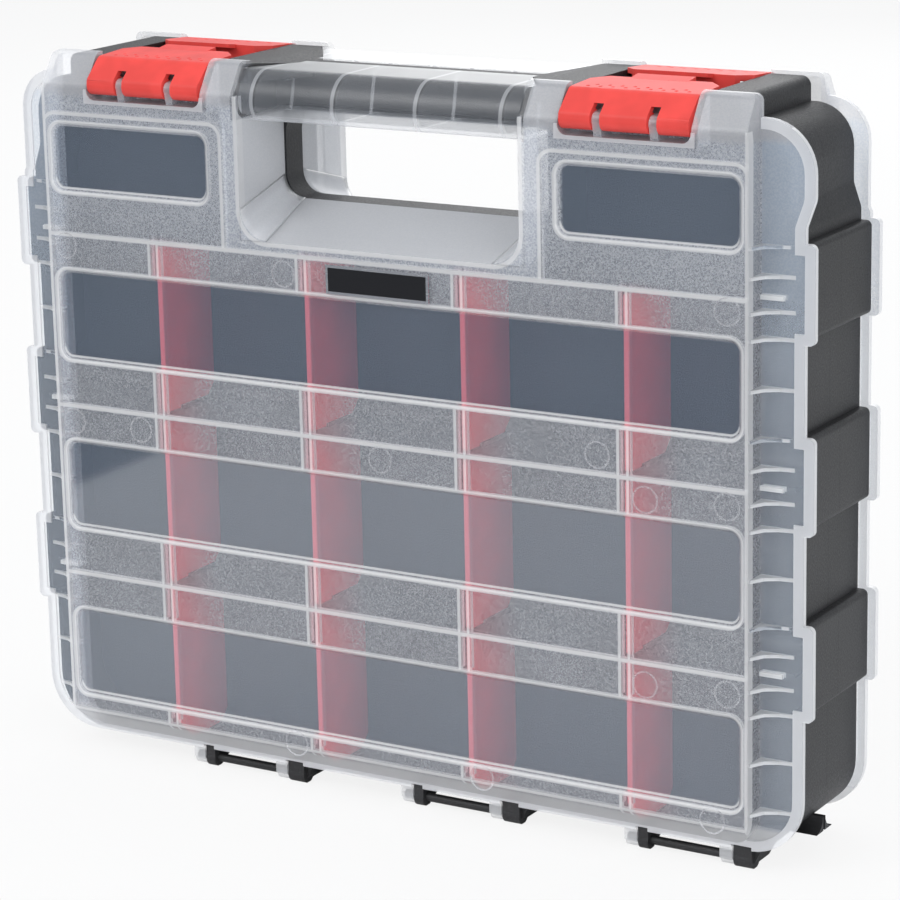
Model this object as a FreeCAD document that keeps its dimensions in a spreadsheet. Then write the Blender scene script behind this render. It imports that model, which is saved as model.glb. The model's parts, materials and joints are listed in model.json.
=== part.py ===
"""Double-sided organizer box: black case body, two clear lids, four latches, 24 dividers.

Frame: X to the right, the front lid faces -Y, Z up, origin on the ground under the middle.
Both sides are the same moulding turned half a turn about Z.
"""
import FreeCAD, Part
import math
import os

import Sketcher

doc = FreeCAD.newDocument("organizer_box")
vector = FreeCAD.Vector


# Driving sizes in millimetres
SIZES = [
    ("body_half_width", 185.4, "case body, half width between the side bumps"),
    ("bump_half_width", 190.0, "case body, half width over a side bump"),
    ("shoulder_half_width", 182.0, "case body, half width above the top row"),
    ("body_half_depth", 29.2, "case body, middle to rim"),
    ("body_base", 8.8, "underside of the case body above the ground"),
    ("body_corner", 24.0, "radius of the bottom corners"),
    ("wall", 2.0, "outer wall of the case body"),
    ("floor_wall", 2.5, "floor wall at half depth"),
    ("row_wall", 1.6, "wall between two rows"),
    ("row_pitch", 77.3, "row spacing"),
    ("row_base", 8.7, "height from which the rows are counted"),
    ("row_wall_reach", 38.1, "front edge of the row walls from the middle"),
    ("cove", 6.0, "radius where the floor wall meets a row wall"),
    ("bump_height", 38.4, "height of a side bump of the case body"),
    ("bump_rise", 2.1, "bump centre above the row wall it covers"),
    ("bump_corner", 2.4, "corner radius of a side bump"),
    ("shoulder_low", 267.0, "where the side starts to draw in"),
    ("shoulder_high", 277.0, "where the side has drawn in"),
    ("ledge", 308.5, "height of the shoulder ledge"),
    ("shoulder_corner", 17.0, "radius of the shoulder"),
    ("block_top", 318.5, "top of the two catch blocks"),
    ("block_end", 163.0, "outer end of a catch block"),
    ("block_inner_end", 74.5, "inner end of a catch block and of its upright"),
    ("block_corner", 4.0, "corner radius of a catch block"),
    ("block_floor", 296.6, "top of the wall above the small compartments"),
    ("latch_bed", 312.2, "top of the block under a latch"),
    ("catch_top", 315.2, "top of the catch ridge"),
    ("catch_width", 48.0, "length of the catch ridge"),
    ("divider_pitch", 76.0, "divider spacing"),
    ("divider_wall", 2.5, "thickness of a divider"),
    ("divider_height", 73.6, "height of a divider"),
    ("divider_corner", 11.5, "bevel of a divider at its front edge"),
    ("guide_reach", 1.8, "how far a guide rib stands out of its row wall"),
    ("guide_wall", 1.3, "thickness of a guide rib"),
    ("hole_half_width", 67.0, "hand hole, half width"),
    ("hole_base", 258.3, "bottom of the hand hole"),
    ("hole_top", 296.0, "top of the hand hole, underside of the handle"),
    ("hole_corner", 10.0, "corner radius of the hand hole"),
    ("hole_rim_half_depth", 6.3, "half depth of the body strip round the hand hole"),
    ("ridge_half_depth", 4.0, "half depth of the ridge on top of the handle"),
    ("ridge_top", 316.6, "top of the handle"),
    ("ramp_start", 70.0, "where the block's ramp starts to fall"),
    ("ramp_end", 54.0, "where the block's ramp has come down to the ridge"),
    ("lid_half_width", 189.2, "lid, half width between the side bumps"),
    ("lid_bump_half_width", 193.5, "lid, half width over a side bump"),
    ("lid_base", 9.0, "lower edge of a lid"),
    ("lid_corner", 24.0, "radius of a lid's bottom corners"),
    ("lid_bump_height", 40.0, "height of a side bump of the lid"),
    ("lid_top", 320.1, "top of a lid beside the latches"),
    ("lid_wall", 1.8, "wall of a lid"),
    ("seat_gap", 0.2, "gap between the body's rim and a lid's flange"),
    ("flange_wall", 2.0, "thickness of the lid's flange"),
    ("flange_band", 4.4, "width of the raised band along the flange"),
    ("band_height", 0.7, "how far the band stands out of the flange"),
    ("lid_front", 42.2, "front face of a lid from the middle"),
    ("dome_half_width", 169.8, "raised front of a lid, half width"),
    ("dome_base", 21.0, "lower edge of the raised front"),
    ("skirt_base", 12.5, "where the skirt under the raised front meets the flange"),
    ("dome_corner", 5.0, "corner radius of the raised front"),
    ("dome_shoulder", 306.5, "where the raised front starts to slope back"),
    ("dome_brow", 33.5, "depth at which the slope ends under the lid's top"),
    ("window_half_width", 167.0, "half width over the windows"),
    ("window_depth", 2.0, "how far a window is recessed, and the width of its slanted border"),
    ("window_corner", 6.0, "corner radius of a window"),
    ("window_over", 20.4, "window bottom above its row wall"),
    ("window_height", 41.5, "height of a window"),
    ("small_window_inner", 84.0, "inner side of a small window"),
    ("small_window_base", 259.0, "bottom of a small window"),
    ("small_window_top", 290.0, "top of a small window"),
    ("small_frame_inner", 77.5, "rib along the inner side of a small window"),
    ("small_frame_rise", 4.4, "rib above a small window, over the window's top"),
    ("lobe_half_width", 193.2, "finger lobe of the lid, half width"),
    ("lobe_corner", 21.5, "radius of the finger lobe"),
    ("lobe_ledge", 311.0, "top of the finger lobe"),
    ("section_end", 170.2, "outer end of the lid's top sections"),
    ("scoop_half_width", 69.6, "hand scoop, half width"),
    ("scoop_base", 245.5, "lower edge of the hand scoop in the front face"),
    ("handle_top", 317.2, "top of the handle shell"),
    ("handle_brow", 13.0, "radius of the handle shell above"),
    ("handle_belly", 8.0, "radius of the handle shell below"),
    ("handle_rib", 1.6, "thickness of a rib in the handle shell"),
    ("latch_centre", 115.7, "latch centre from the middle"),
    ("latch_width", 57.5, "width of a latch"),
    ("latch_side_gap", 0.8, "gap beside a latch"),
    ("latch_wall", 2.2, "thickness of a latch"),
    ("latch_crown_depth", 32.4, "where the latch's plate bends over, from the middle"),
    ("pocket_frame", 1.6, "width of the raised frame round a latch pocket"),
    ("pocket_frame_height", 0.5, "how far that frame stands out of the lid"),
    ("latch_axis_depth", 38.7, "latch axis from the middle"),
    ("latch_axis_height", 307.0, "latch axis above the ground"),
    ("knuckle_radius", 4.3, "radius of a latch's knuckle"),
    ("latch_pocket_base", 300.6, "floor of the lid's latch pocket"),
    ("latch_lug_offset", 12.6, "latch lug from the latch centre"),
    ("latch_lug_wall", 3.6, "thickness of a latch lug"),
    ("latch_lug_radius", 3.2, "radius of a latch lug"),
    ("slot_gap", 0.4, "gap between a lug and its slot, each side"),
    ("slot_top", 313.5, "upper end of a latch slot"),
    ("stub_radius", 1.5, "radius of the stub axles on a latch lug"),
    ("stub_length", 1.4, "length of a stub axle"),
    ("stub_fit", 0.06, "running clearance of a stub axle, on the radius"),
    ("lip_depth", 10.0, "rear face of a latch's lip from the middle"),
    ("lip_base", 313.2, "lower edge of a latch's lip"),
    ("lip_wall", 1.6, "thickness of a latch's lip"),
    ("lip_gap", 0.7, "gap between lip and catch ridge"),
    ("tab_depth", 5.0, "tip of a latch's finger tab from the middle"),
    ("tab_width", 26.0, "width of a latch's finger tab"),
    ("hinge_first", -83.5, "middle of the first hinge rod"),
    ("hinge_pitch", 109.3, "hinge spacing"),
    ("rod_radius", 1.9, "radius of a hinge rod"),
    ("rod_fit", 0.1, "running clearance of a hinge clip, on the radius"),
    ("rod_depth", 27.0, "hinge axis from the middle"),
    ("rod_height", 3.7, "hinge axis above the ground"),
    ("rod_span", 33.4, "free length of a hinge rod between lug and clip"),
    ("lug_radius", 4.0, "radius of a hinge lug, flat where it stands on the ground"),
    ("lug_wall", 4.6, "thickness of a hinge lug"),
    ("end_block", 8.2, "thickness of a hinge's end block"),
    ("lug_run", 22.0, "how far a hinge lug runs back under the body"),
    ("clip_width", 5.8, "width of a hinge clip"),
    ("clip_wall", 1.5, "wall of a hinge clip"),
    ("clip_gap", 0.3, "gap between a hinge clip and the lug beside it"),
    ("fin_wall", 1.4, "thickness of a fin"),
    ("rib_wall", 1.0, "thickness of a rib inside the lid"),
    ("badge_width", 50.0, "width of the badge"),
    ("badge_base", 226.4, "lower edge of the badge"),
    ("badge_top", 238.7, "upper edge of the badge"),
    ("badge_frame_wall", 1.1, "width of the badge frame"),
    ("badge_frame_height", 0.8, "thickness of the badge frame"),
    ("badge_plate_height", 0.5, "thickness of the badge plate"),
]

ROW_COUNT = 3
DIVIDER_COLUMNS = (-1.5, -0.5, 0.5, 1.5)


class Size:
    """A length that knows its number and the sheet formula that gives it."""

    def __init__(self, value, text):
        self.value = float(value)
        self.text = text

    def __add__(self, other):
        other = as_size(other)
        return Size(self.value + other.value, f"({self.text} + {other.text})")

    def __radd__(self, other):
        return as_size(other) + self

    def __sub__(self, other):
        other = as_size(other)
        return Size(self.value - other.value, f"({self.text} - {other.text})")

    def __rsub__(self, other):
        return as_size(other) - self

    def __mul__(self, other):
        other = as_size(other)
        return Size(self.value * other.value, f"({self.text} * {other.text})")

    def __rmul__(self, other):
        return as_size(other) * self

    def __truediv__(self, other):
        other = as_size(other)
        return Size(self.value / other.value, f"({self.text} / {other.text})")

    def __neg__(self):
        return Size(-self.value, f"(0 - {self.text})")


def as_size(value):
    if isinstance(value, Size):
        return value
    return Size(value, f"({value})" if value < 0 else f"{value}")


class SizeSheet:
    """The spreadsheet of driving sizes, each one an attribute here."""

    def __init__(self, rows):
        self.sheet = doc.addObject("Spreadsheet::Sheet", "Sizes")
        for line, (alias, value, meaning) in enumerate(rows, start=1):
            self.sheet.set(f"A{line}", meaning)
            self.sheet.set(f"B{line}", str(value))
            self.sheet.setAlias(f"B{line}", alias)
            setattr(self, alias, Size(value, f"Sizes.{alias}"))


size = SizeSheet(SIZES)
doc.recompute()


# Building blocks

TURN_TO_Y = FreeCAD.Rotation(vector(1, 0, 0), 90)
TURN_TO_X = FreeCAD.Rotation(vector(1, 1, 1), 120)
HALF_TURN = FreeCAD.Rotation(vector(0, 0, 1), 180)


def bind(item, prop, value):
    item.setExpression(prop, as_size(value).text)


def bind_place(item, x=0, y=0, z=0):
    bind(item, "Placement.Base.x", x)
    bind(item, "Placement.Base.y", y)
    bind(item, "Placement.Base.z", z)


def corner_numbers(corner):
    numbers = [as_size(part).value for part in corner]
    radius = numbers[2] if len(numbers) > 2 else 0.0
    return vector(numbers[0], numbers[1], 0), radius


def turn_between(into, out):
    return math.atan2(into.x * out.y - into.y * out.x, into.dot(out))


def corner_shares(points, radii):
    """How much of each corner's radius its two runs leave room for, 1 where it all fits."""
    count = len(points)
    runs = [points[(index + 1) % count] - points[index] for index in range(count)]
    reaches = []
    for index in range(count):
        turn = turn_between(runs[index - 1], runs[index])
        reaches.append(radii[index] * math.tan(abs(turn) / 2))
    shares = [1.0] * count
    for index in range(count):
        following = (index + 1) % count
        wanted = reaches[index] + reaches[following]
        room = 0.97 * runs[index].Length
        if wanted > room:
            shares[index] = min(shares[index], room / wanted)
            shares[following] = min(shares[following], room / wanted)
    return shares


def draw_outline(sketch, corners):
    """A closed outline: straight runs between corners, each corner sharp or rounded.

    A corner is (across, up) or (across, up, radius).
    """
    count = len(corners)
    points = [corner_numbers(corner)[0] for corner in corners]
    radii = [corner_numbers(corner)[1] for corner in corners]
    shares = corner_shares(points, radii)
    radii = [radius * share for radius, share in zip(radii, shares)]
    leave = []
    arrive = []
    arcs = []
    for index in range(count):
        here = points[index]
        into = (here - points[index - 1]).normalize()
        out = (points[(index + 1) % count] - here).normalize()
        turn = turn_between(into, out)
        radius = radii[index]
        reach = radius * math.tan(abs(turn) / 2)
        arrive.append(here - into * reach)
        leave.append(here + out * reach)
        if radius <= 0:
            arcs.append(None)
            continue
        side = 1 if turn > 0 else -1
        centre = arrive[index] + vector(-into.y, into.x, 0) * (side * radius)
        first, last = (arrive[index], leave[index]) if side > 0 else (leave[index], arrive[index])
        start_angle = math.atan2(first.y - centre.y, first.x - centre.x)
        end_angle = math.atan2(last.y - centre.y, last.x - centre.x)
        if end_angle < start_angle:
            end_angle += 2 * math.pi
        circle = Part.Circle(centre, vector(0, 0, 1), radius)
        arcs.append((Part.ArcOfCircle(circle, start_angle, end_angle), side))

    lines = []
    for index in range(count):
        following = (index + 1) % count
        lines.append(sketch.addGeometry(Part.LineSegment(leave[index], arrive[following]), False))
    constraints = []
    bound = []

    def add(constraint, value=None):
        constraints.append(constraint)
        if value is not None:
            bound.append((len(constraints) - 1, value))

    for index in range(count):
        before = lines[index - 1]
        after = lines[index]
        mark = sketch.addGeometry(Part.Point(points[index]), True)
        for axis, kind, place in ((-2, "DistanceX", 0), (-1, "DistanceY", 1)):
            value = as_size(corners[index][place])
            if abs(value.value) < 1e-9:
                add(Sketcher.Constraint("PointOnObject", mark, 1, axis))
            else:
                add(Sketcher.Constraint(kind, -1, 1, mark, 1, value.value), value)
        if arcs[index] is None:
            add(Sketcher.Constraint("Coincident", before, 2, mark, 1))
            add(Sketcher.Constraint("Coincident", after, 1, mark, 1))
            continue
        arc, side = arcs[index]
        bend = sketch.addGeometry(arc, False)
        begin, end = (1, 2) if side > 0 else (2, 1)
        add(Sketcher.Constraint("PointOnObject", mark, 1, before))
        add(Sketcher.Constraint("PointOnObject", mark, 1, after))
        add(Sketcher.Constraint("Tangent", before, 2, bend, begin))
        add(Sketcher.Constraint("Tangent", bend, end, after, 1))
        add(
            Sketcher.Constraint("Radius", bend, radii[index]),
            as_size(corners[index][2]) * shares[index],
        )
    sketch.addConstraint(constraints)
    for place, value in bound:
        if "Sizes." in value.text:
            sketch.setExpression(f"Constraints[{place}]", value.text)


def extrude(name, corners, rotation, place, length):
    sketch = doc.addObject("Sketcher::SketchObject", f"{name}_outline")
    sketch.Placement = FreeCAD.Placement(vector(0, 0, 0), rotation)
    bind_place(sketch, *place)
    draw_outline(sketch, corners)
    solid = doc.addObject("Part::Extrusion", name)
    solid.Base = sketch
    solid.DirMode = "Normal"
    solid.Solid = True
    bind(solid, "LengthFwd", length)
    return solid


def prism_y(name, corners, back, front):
    """An outline in (x, z), carried from y = -back to y = -front."""
    return extrude(name, corners, TURN_TO_Y, (0, 0 - as_size(back), 0), as_size(front) - back)


def prism_x(name, corners, left, right):
    """An outline in (y, z), carried from x = left to x = right."""
    return extrude(name, corners, TURN_TO_X, (left, 0, 0), as_size(right) - left)


def prism_z(name, corners, bottom, top):
    """An outline in (x, y), carried from z = bottom to z = top."""
    return extrude(name, corners, FreeCAD.Rotation(), (0, 0, bottom), as_size(top) - bottom)


def box(name, x, y, z):
    """A plain block between the two values of each pair."""
    item = doc.addObject("Part::Box", name)
    bind(item, "Length", as_size(x[1]) - x[0])
    bind(item, "Width", as_size(y[1]) - y[0])
    bind(item, "Height", as_size(z[1]) - z[0])
    bind_place(item, x[0], y[0], z[0])
    return item


def rod_x(name, radius, x, y, z):
    """A cylinder along X between the two values of x."""
    item = doc.addObject("Part::Cylinder", name)
    item.Placement = FreeCAD.Placement(vector(0, 0, 0), FreeCAD.Rotation(vector(0, 1, 0), 90))
    bind(item, "Radius", radius)
    bind(item, "Height", as_size(x[1]) - x[0])
    bind_place(item, x[0], y, z)
    return item


def fuse(name, items):
    item = doc.addObject("Part::MultiFuse", name)
    item.Shapes = items
    item.Refine = True
    return item


def cut(name, base, tools):
    item = doc.addObject("Part::Cut", name)
    item.Base = base
    item.Tool = tools[0] if len(tools) == 1 else fuse(f"{name}_tools", tools)
    item.Refine = True
    return item


def common(name, items):
    item = doc.addObject("Part::MultiCommon", name)
    item.Shapes = items
    return item


def mirrored(corners):
    """The other half of an outline that is the same on both sides of x = 0."""
    return [(0 - as_size(corner[0]),) + tuple(corner[1:]) for corner in reversed(corners)]


def rectangle(left, right, bottom, top, radius=0):
    return [
        (left, bottom, radius),
        (right, bottom, radius),
        (right, top, radius),
        (left, top, radius),
    ]


# Places that several pieces share

lid_seat = size.body_half_depth + size.seat_gap
flange_front = lid_seat + size.flange_wall
lid_inside = size.lid_front - size.lid_wall
window_face = size.lid_front - size.window_depth
window_inside = window_face - size.lid_wall
half_floor = size.floor_wall / 2
latch_half = size.latch_width / 2
pocket_half = latch_half + size.latch_side_gap
small_frame_top = size.small_window_top + size.small_frame_rise
hinge_centres = [size.hinge_first + size.hinge_pitch * step for step in range(3)]


def row_height(step):
    """Height of the middle of row wall number step, 0 being the bottom wall."""
    return size.row_base + size.row_pitch * step


def bump_bars(name, width, height, inset, back, front):
    """The side bumps: one bar across the whole width at each row wall."""
    bars = []
    half_width = width - inset
    corner = size.bump_corner - inset / 2
    for step in range(1, ROW_COUNT + 1):
        middle = row_height(step) + size.bump_rise
        half = height / 2 - inset
        outline = rectangle(0 - half_width, half_width, middle - half, middle + half, corner)
        bars.append(prism_y(f"{name}_{step}", outline, back, front))
    return bars


# Case body


def body_outline(inset=0):
    half = [
        (size.body_half_width - inset, size.body_base + inset, size.body_corner - inset),
        (size.body_half_width - inset, size.shoulder_low, 6.0),
        (size.shoulder_half_width - inset, size.shoulder_high, 6.0),
        (size.shoulder_half_width - inset, size.ledge - inset, size.shoulder_corner - inset),
        (size.block_end - inset, size.ledge - inset),
        (size.block_end - inset, size.block_top - inset, size.block_corner - inset / 2),
    ]
    return half + mirrored(half)


def body_solid(name, inset, reach):
    """Everything inside the body's outline, from y = -reach to y = reach."""
    core = prism_y(f"{name}_core", body_outline(inset), 0 - reach, reach)
    bars = bump_bars(
        f"{name}_bump", size.bump_half_width, size.bump_height, inset, 0 - reach, reach
    )
    return fuse(name, [core] + bars)


def row_wall_plan():
    """Row wall seen from above: it stands out past the rim between the lid's side walls."""
    rim = size.body_half_depth
    reach = size.row_wall_reach
    side = size.body_half_width - size.wall / 2
    nose = size.dome_half_width - size.lid_wall - 1.0
    quarter = [(side, rim), (nose, rim), (nose - 2.0, reach)]
    front = [(0 - x, 0 - y) for x, y in quarter]
    right = [(x, 0 - y) for x, y in reversed(quarter)]
    back = [(x, y) for x, y in quarter]
    left = [(0 - x, y) for x, y in reversed(quarter)]
    return front + right + back + left


def ramp_plan(grow):
    """Top of the blocks and of the ramps that narrow to the handle's ridge."""
    quarter = [
        (size.block_inner_end, size.body_half_depth + grow),
        (size.ramp_start - grow, size.body_half_depth + grow),
        (size.ramp_end - grow, size.ridge_half_depth + grow),
    ]
    front_right = [(x, 0 - y) for x, y in reversed(quarter)]
    back_right = [(x, y) for x, y in quarter]
    return front_right + back_right


def make_ramp(name, side, grow=0):
    """One ramp from a block down to the handle's ridge, with its sloping top."""
    plan = [(side * x, y) for x, y in ramp_plan(grow)]
    if side < 0:
        plan = list(reversed(plan))
    upright = prism_z(f"{name}_plan", plan, size.ridge_top - 6.0 - grow, size.block_top + grow)
    slope = [
        (side * (size.block_inner_end + 1.0), size.ridge_top - 8.0),
        (side * (size.ramp_end - 4.0), size.ridge_top - 8.0),
        (side * (size.ramp_end - 4.0), size.ridge_top + grow),
        (side * (size.ramp_end + 1.0), size.ridge_top + grow, 10.0),
        (side * (size.ramp_start - 1.0), size.block_top + grow, 1.5),
        (side * (size.block_inner_end + 1.0), size.block_top + grow),
    ]
    if side > 0:
        slope = list(reversed(slope))
    depth = size.body_half_depth + 1.0
    profile = prism_y(f"{name}_slope", slope, 0 - depth, depth)
    return common(name, [upright, profile])


def make_body_shell():
    rim = size.body_half_depth
    outside = body_solid("body_outside", 0, rim)
    inside = body_solid("body_inside", size.wall, rim + 1.0)
    band = cut("body_band", outside, [inside])
    floor = body_solid("body_floor", size.wall / 2, half_floor)
    pieces = [band, floor]
    half_row = size.row_wall / 2
    for step in range(1, ROW_COUNT + 1):
        middle = row_height(step)
        pieces.append(prism_z(f"row_wall_{step}", row_wall_plan(), middle - half_row, middle + half_row))
    for word, side in (("left", -1), ("right", 1)):
        inner = side * size.block_inner_end
        outer = side * (size.block_inner_end + size.wall)
        pieces.append(box(
            f"upright_{word}", sorted_pair(inner, outer), (0 - rim, rim),
            (row_height(ROW_COUNT), size.block_top - size.wall / 2),
        ))
        wall_end = side * (size.shoulder_half_width - size.wall / 2)
        pieces.append(box(
            f"compartment_roof_{word}", sorted_pair(inner, wall_end), (0 - rim, rim),
            (size.block_floor - size.wall, size.block_floor),
        ))
    return pieces


def sorted_pair(first, second):
    first = as_size(first)
    second = as_size(second)
    return (first, second) if first.value < second.value else (second, first)


def make_block_fill(word, side):
    """Bed under a latch, its two end walls and the ribs that carry it."""
    rim = size.body_half_depth
    centre = side * size.latch_centre
    half = pocket_half + 0.6
    items = [box(
        f"latch_bed_{word}", (centre - half, centre + half), (0 - rim, rim),
        (size.latch_bed - size.wall, size.latch_bed),
    )]
    for place, offset in enumerate((0 - half, 0 - half / 3, half / 3, half)):
        middle = centre + offset
        top = size.block_top - size.wall / 2 if place in (0, 3) else size.latch_bed - size.wall / 2
        items.append(box(
            f"block_rib_{word}_{place + 1}",
            (middle - size.row_wall / 2, middle + size.row_wall / 2),
            (0 - rim, rim), (size.block_floor - size.wall / 2, top),
        ))
    ridge_back = size.lip_depth + size.lip_wall + size.lip_gap
    half_catch = size.catch_width / 2
    for face, turn in (("front", -1), ("rear", 1)):
        depth = sorted_pair(turn * ridge_back, turn * (ridge_back + 2.6))
        items.append(box(
            f"catch_{face}_{word}", (centre - half_catch, centre + half_catch), depth,
            (size.latch_bed - 1.0, size.catch_top),
        ))
    return fuse(f"block_fill_{word}", items)


def make_guides():
    """Pairs of guide ribs on each row's lower wall that hold a divider's foot."""
    items = []
    half_slot = size.divider_wall / 2 + 0.25
    near = half_floor + size.cove + 0.5
    far = size.body_half_depth - 1.0
    for column, factor in enumerate(DIVIDER_COLUMNS, start=1):
        middle = size.divider_pitch * factor
        for row in range(ROW_COUNT):
            bottom = row_height(row) + (size.wall if row == 0 else size.row_wall / 2)
            for turn in (-1, 1):
                across = sorted_pair(
                    middle + turn * half_slot, middle + turn * (half_slot + size.guide_wall)
                )
                for face in (-1, 1):
                    word = f"{'front' if face < 0 else 'rear'}_{'left' if turn < 0 else 'right'}"
                    items.append(box(
                        f"guide_{column}_{row + 1}_{word}", across,
                        sorted_pair(face * near, face * far),
                        (bottom - 0.3, bottom + size.guide_reach),
                    ))
    return items


def make_coves():
    """Rounded floors: a cove on each side of every row wall, front and rear."""
    items = []
    side = size.body_half_width - size.wall / 2
    for row in range(ROW_COUNT):
        lower = row_height(row) + (size.wall if row == 0 else size.row_wall / 2)
        upper = row_height(row + 1) - size.row_wall / 2
        for word, edge, turn in (("low", lower, 1), ("high", upper, -1)):
            for face in (-1, 1):
                wall = face * half_floor
                profile = [
                    (wall - face * 0.5, edge - turn * 0.3),
                    (wall + face * size.cove, edge - turn * 0.3),
                    (wall + face * size.cove, edge),
                    (wall, edge, size.cove - 0.01),
                    (wall, edge + turn * size.cove),
                    (wall - face * 0.5, edge + turn * size.cove),
                ]
                name = f"cove_{row + 1}_{word}_{'rear' if face > 0 else 'front'}"
                items.append(prism_x(name, profile, 0 - side, side))
    return items


def make_hand_hole():
    """What is cleared round the handle, and the strip that lines the hand hole."""
    rim = size.body_half_depth
    clear_base = row_height(ROW_COUNT) + size.row_wall / 2
    clear = size.block_inner_end
    relief = [
        box(
            f"handle_relief_{word}", (0 - clear, clear),
            sorted_pair(turn * half_floor, turn * (rim + 12.0)), (clear_base, size.block_top + 5.0),
        )
        for word, turn in (("front", -1), ("rear", 1))
    ]
    crest = box(
        "handle_crest_relief", (0 - clear, clear), (0 - rim, rim),
        (size.ridge_top, size.block_top + 5.0),
    )
    hole = prism_y(
        "hand_hole",
        rectangle(
            0 - size.hole_half_width, size.hole_half_width, size.hole_base, size.hole_top,
            size.hole_corner,
        ),
        0 - rim, rim,
    )
    strip = size.wall
    strip_outside = prism_y(
        "hole_strip_outside",
        rectangle(
            0 - size.hole_half_width - strip, size.hole_half_width + strip,
            size.hole_base - strip, size.hole_top + strip, size.hole_corner + strip,
        ),
        0 - size.hole_rim_half_depth, size.hole_rim_half_depth,
    )
    ridge = box(
        "handle_ridge", (0 - clear, clear), (0 - size.ridge_half_depth, size.ridge_half_depth),
        (size.ridge_top - size.wall, size.ridge_top),
    )
    return relief + [crest], hole, [strip_outside, ridge]


def make_hinge_side(turn):
    """Rods, lugs and end blocks along the bottom of one side. Front is turn -1."""
    word = "front" if turn < 0 else "rear"
    items = []
    depth = turn * size.rod_depth
    for number, middle in enumerate(hinge_centres, start=1):
        name = f"{word}_hinge_{number}"
        half_span = size.rod_span / 2
        flip = 0 - turn

        def across(low, high):
            return sorted_pair(flip * low, flip * high)

        lug_right = middle - half_span
        lug_left = lug_right - size.lug_wall
        clip_right = middle + half_span + size.clip_width
        block_left = clip_right + size.clip_gap
        rod_left = lug_left - size.clip_gap - size.clip_width
        items.append(rod_x(
            f"{name}_rod", size.rod_radius, across(rod_left, block_left + 1.0), depth, size.rod_height
        ))
        for part, low, high in (
            ("lug", lug_left, lug_right), ("end", block_left, block_left + size.end_block)
        ):
            items.append(rod_x(
                f"{name}_{part}_round", size.lug_radius, across(low, high), depth, size.rod_height
            ))
            front = turn * (size.rod_depth + size.lug_radius - 0.3)
            back = turn * (size.rod_depth - size.lug_run)
            tip = size.body_base + 1.0
            profile = [
                (front, tip), (front, size.rod_height + 0.6), (depth, size.rod_height - 3.2),
                (depth - turn * 2.5, size.rod_height - 2.6), (back, tip),
            ]
            body = prism_x(f"{name}_{part}_web", profile, *across(low, high))
            items.append(body)
        wedge = [
            (flip * (block_left + size.end_block - 0.5), size.rod_height - 2.6),
            (flip * (block_left + size.end_block + 3.8), size.body_base + 0.6),
            (flip * (block_left + size.end_block - 0.5), size.body_base + 0.6),
        ]
        back = sorted_pair(0 - depth - turn * 1.5, 0 - depth + turn * 14.0)
        items.append(prism_y(f"{name}_end_buttress", wedge, *back))
    ground = box(
        f"{word}_hinge_ground", (0 - size.block_end - size.lug_run, size.block_end + size.lug_run),
        sorted_pair(0, turn * size.body_half_depth * 2), (0 - size.lug_radius, 0),
    )
    return cut(f"{word}_hinges", fuse(f"{word}_hinge_set", items), [ground])


def make_case_body():
    relief, hole, strip = make_hand_hole()
    blocks = [make_block_fill("left", -1), make_block_fill("right", 1)]
    frame = fuse("body_frame", make_body_shell() + blocks + make_coves() + make_guides())
    bed_clear = []
    for word, side in (("left", -1), ("right", 1)):
        centre = side * size.latch_centre
        half = pocket_half + 0.6 - size.row_wall / 2
        bed_clear.append(box(
            f"bed_relief_{word}", (centre - half, centre + half),
            (0 - size.body_half_depth - 1.0, size.body_half_depth + 1.0),
            (size.latch_bed, size.block_top + 5.0),
        ))
    cleared = cut("body_cleared", frame, relief + bed_clear)
    ramps = [make_ramp("ramp_left", -1), make_ramp("ramp_right", 1)]
    hinges = [make_hinge_side(-1), make_hinge_side(1)]
    whole = fuse("body_whole", [cleared] + blocks + strip + ramps + hinges)
    return cut("case_body", whole, [hole])


# Lid, drawn as the front one


def lid_outline(inset=0):
    side = size.lid_half_width - inset
    lobe_side = size.lobe_half_width - inset
    plain_side = side - 1.0
    ledge = size.lobe_ledge - inset
    foot = [(side, size.lid_base + inset, size.lid_corner - inset)]
    lobe = [
        (side, size.shoulder_low + 2.0, 5.0),
        (lobe_side, size.shoulder_high + 3.0, 8.0),
        (lobe_side, ledge, size.lobe_corner - inset),
        (size.section_end, ledge),
        (size.section_end, size.lid_top, 3.0),
    ]
    plain = [
        (side, size.shoulder_low - 2.0),
        (plain_side, size.shoulder_low),
        (plain_side, ledge, size.lobe_corner - inset),
        (size.section_end, ledge),
        (size.section_end - 2.4, size.lid_top, 5.0),
    ]
    return foot + lobe + mirrored(foot + plain)


def flange_plate(name, inset, back, front):
    """The flange's outline with its bumps, drawn in by inset, between two depths."""
    core = prism_y(f"{name}_core", lid_outline(inset), back, front)
    bars = bump_bars(
        f"{name}_bump", size.lid_bump_half_width, size.lid_bump_height, inset, back, front
    )
    return [core] + bars


def make_flange():
    """Flat flange that closes on the body's rim, with a raised band along its edge."""
    plate = flange_plate("flange", 0, lid_seat, flange_front)
    top = flange_front + size.band_height
    outside = fuse("band_outside", flange_plate("band_outside", 0, flange_front - 0.5, top))
    inside = fuse(
        "band_inside",
        flange_plate("band_inside", size.flange_band, flange_front - 1.0, top + 1.0),
    )
    return plate + [cut("flange_band", outside, [inside])]


def dome_plan(inset=0):
    """Front view of the raised front, with the wall's inset."""
    side = size.dome_half_width - inset
    top = size.section_end - 1.2 - inset
    half = [
        (side, size.skirt_base - 1.5 + inset, size.dome_corner + 9.0 - inset),
        (side, size.lobe_ledge - 9.0, 2.0),
        (top, size.lobe_ledge - 1.0, 2.0),
        (top, size.lid_top - inset, 3.0 - inset / 2),
    ]
    return half + mirrored(half)


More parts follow.
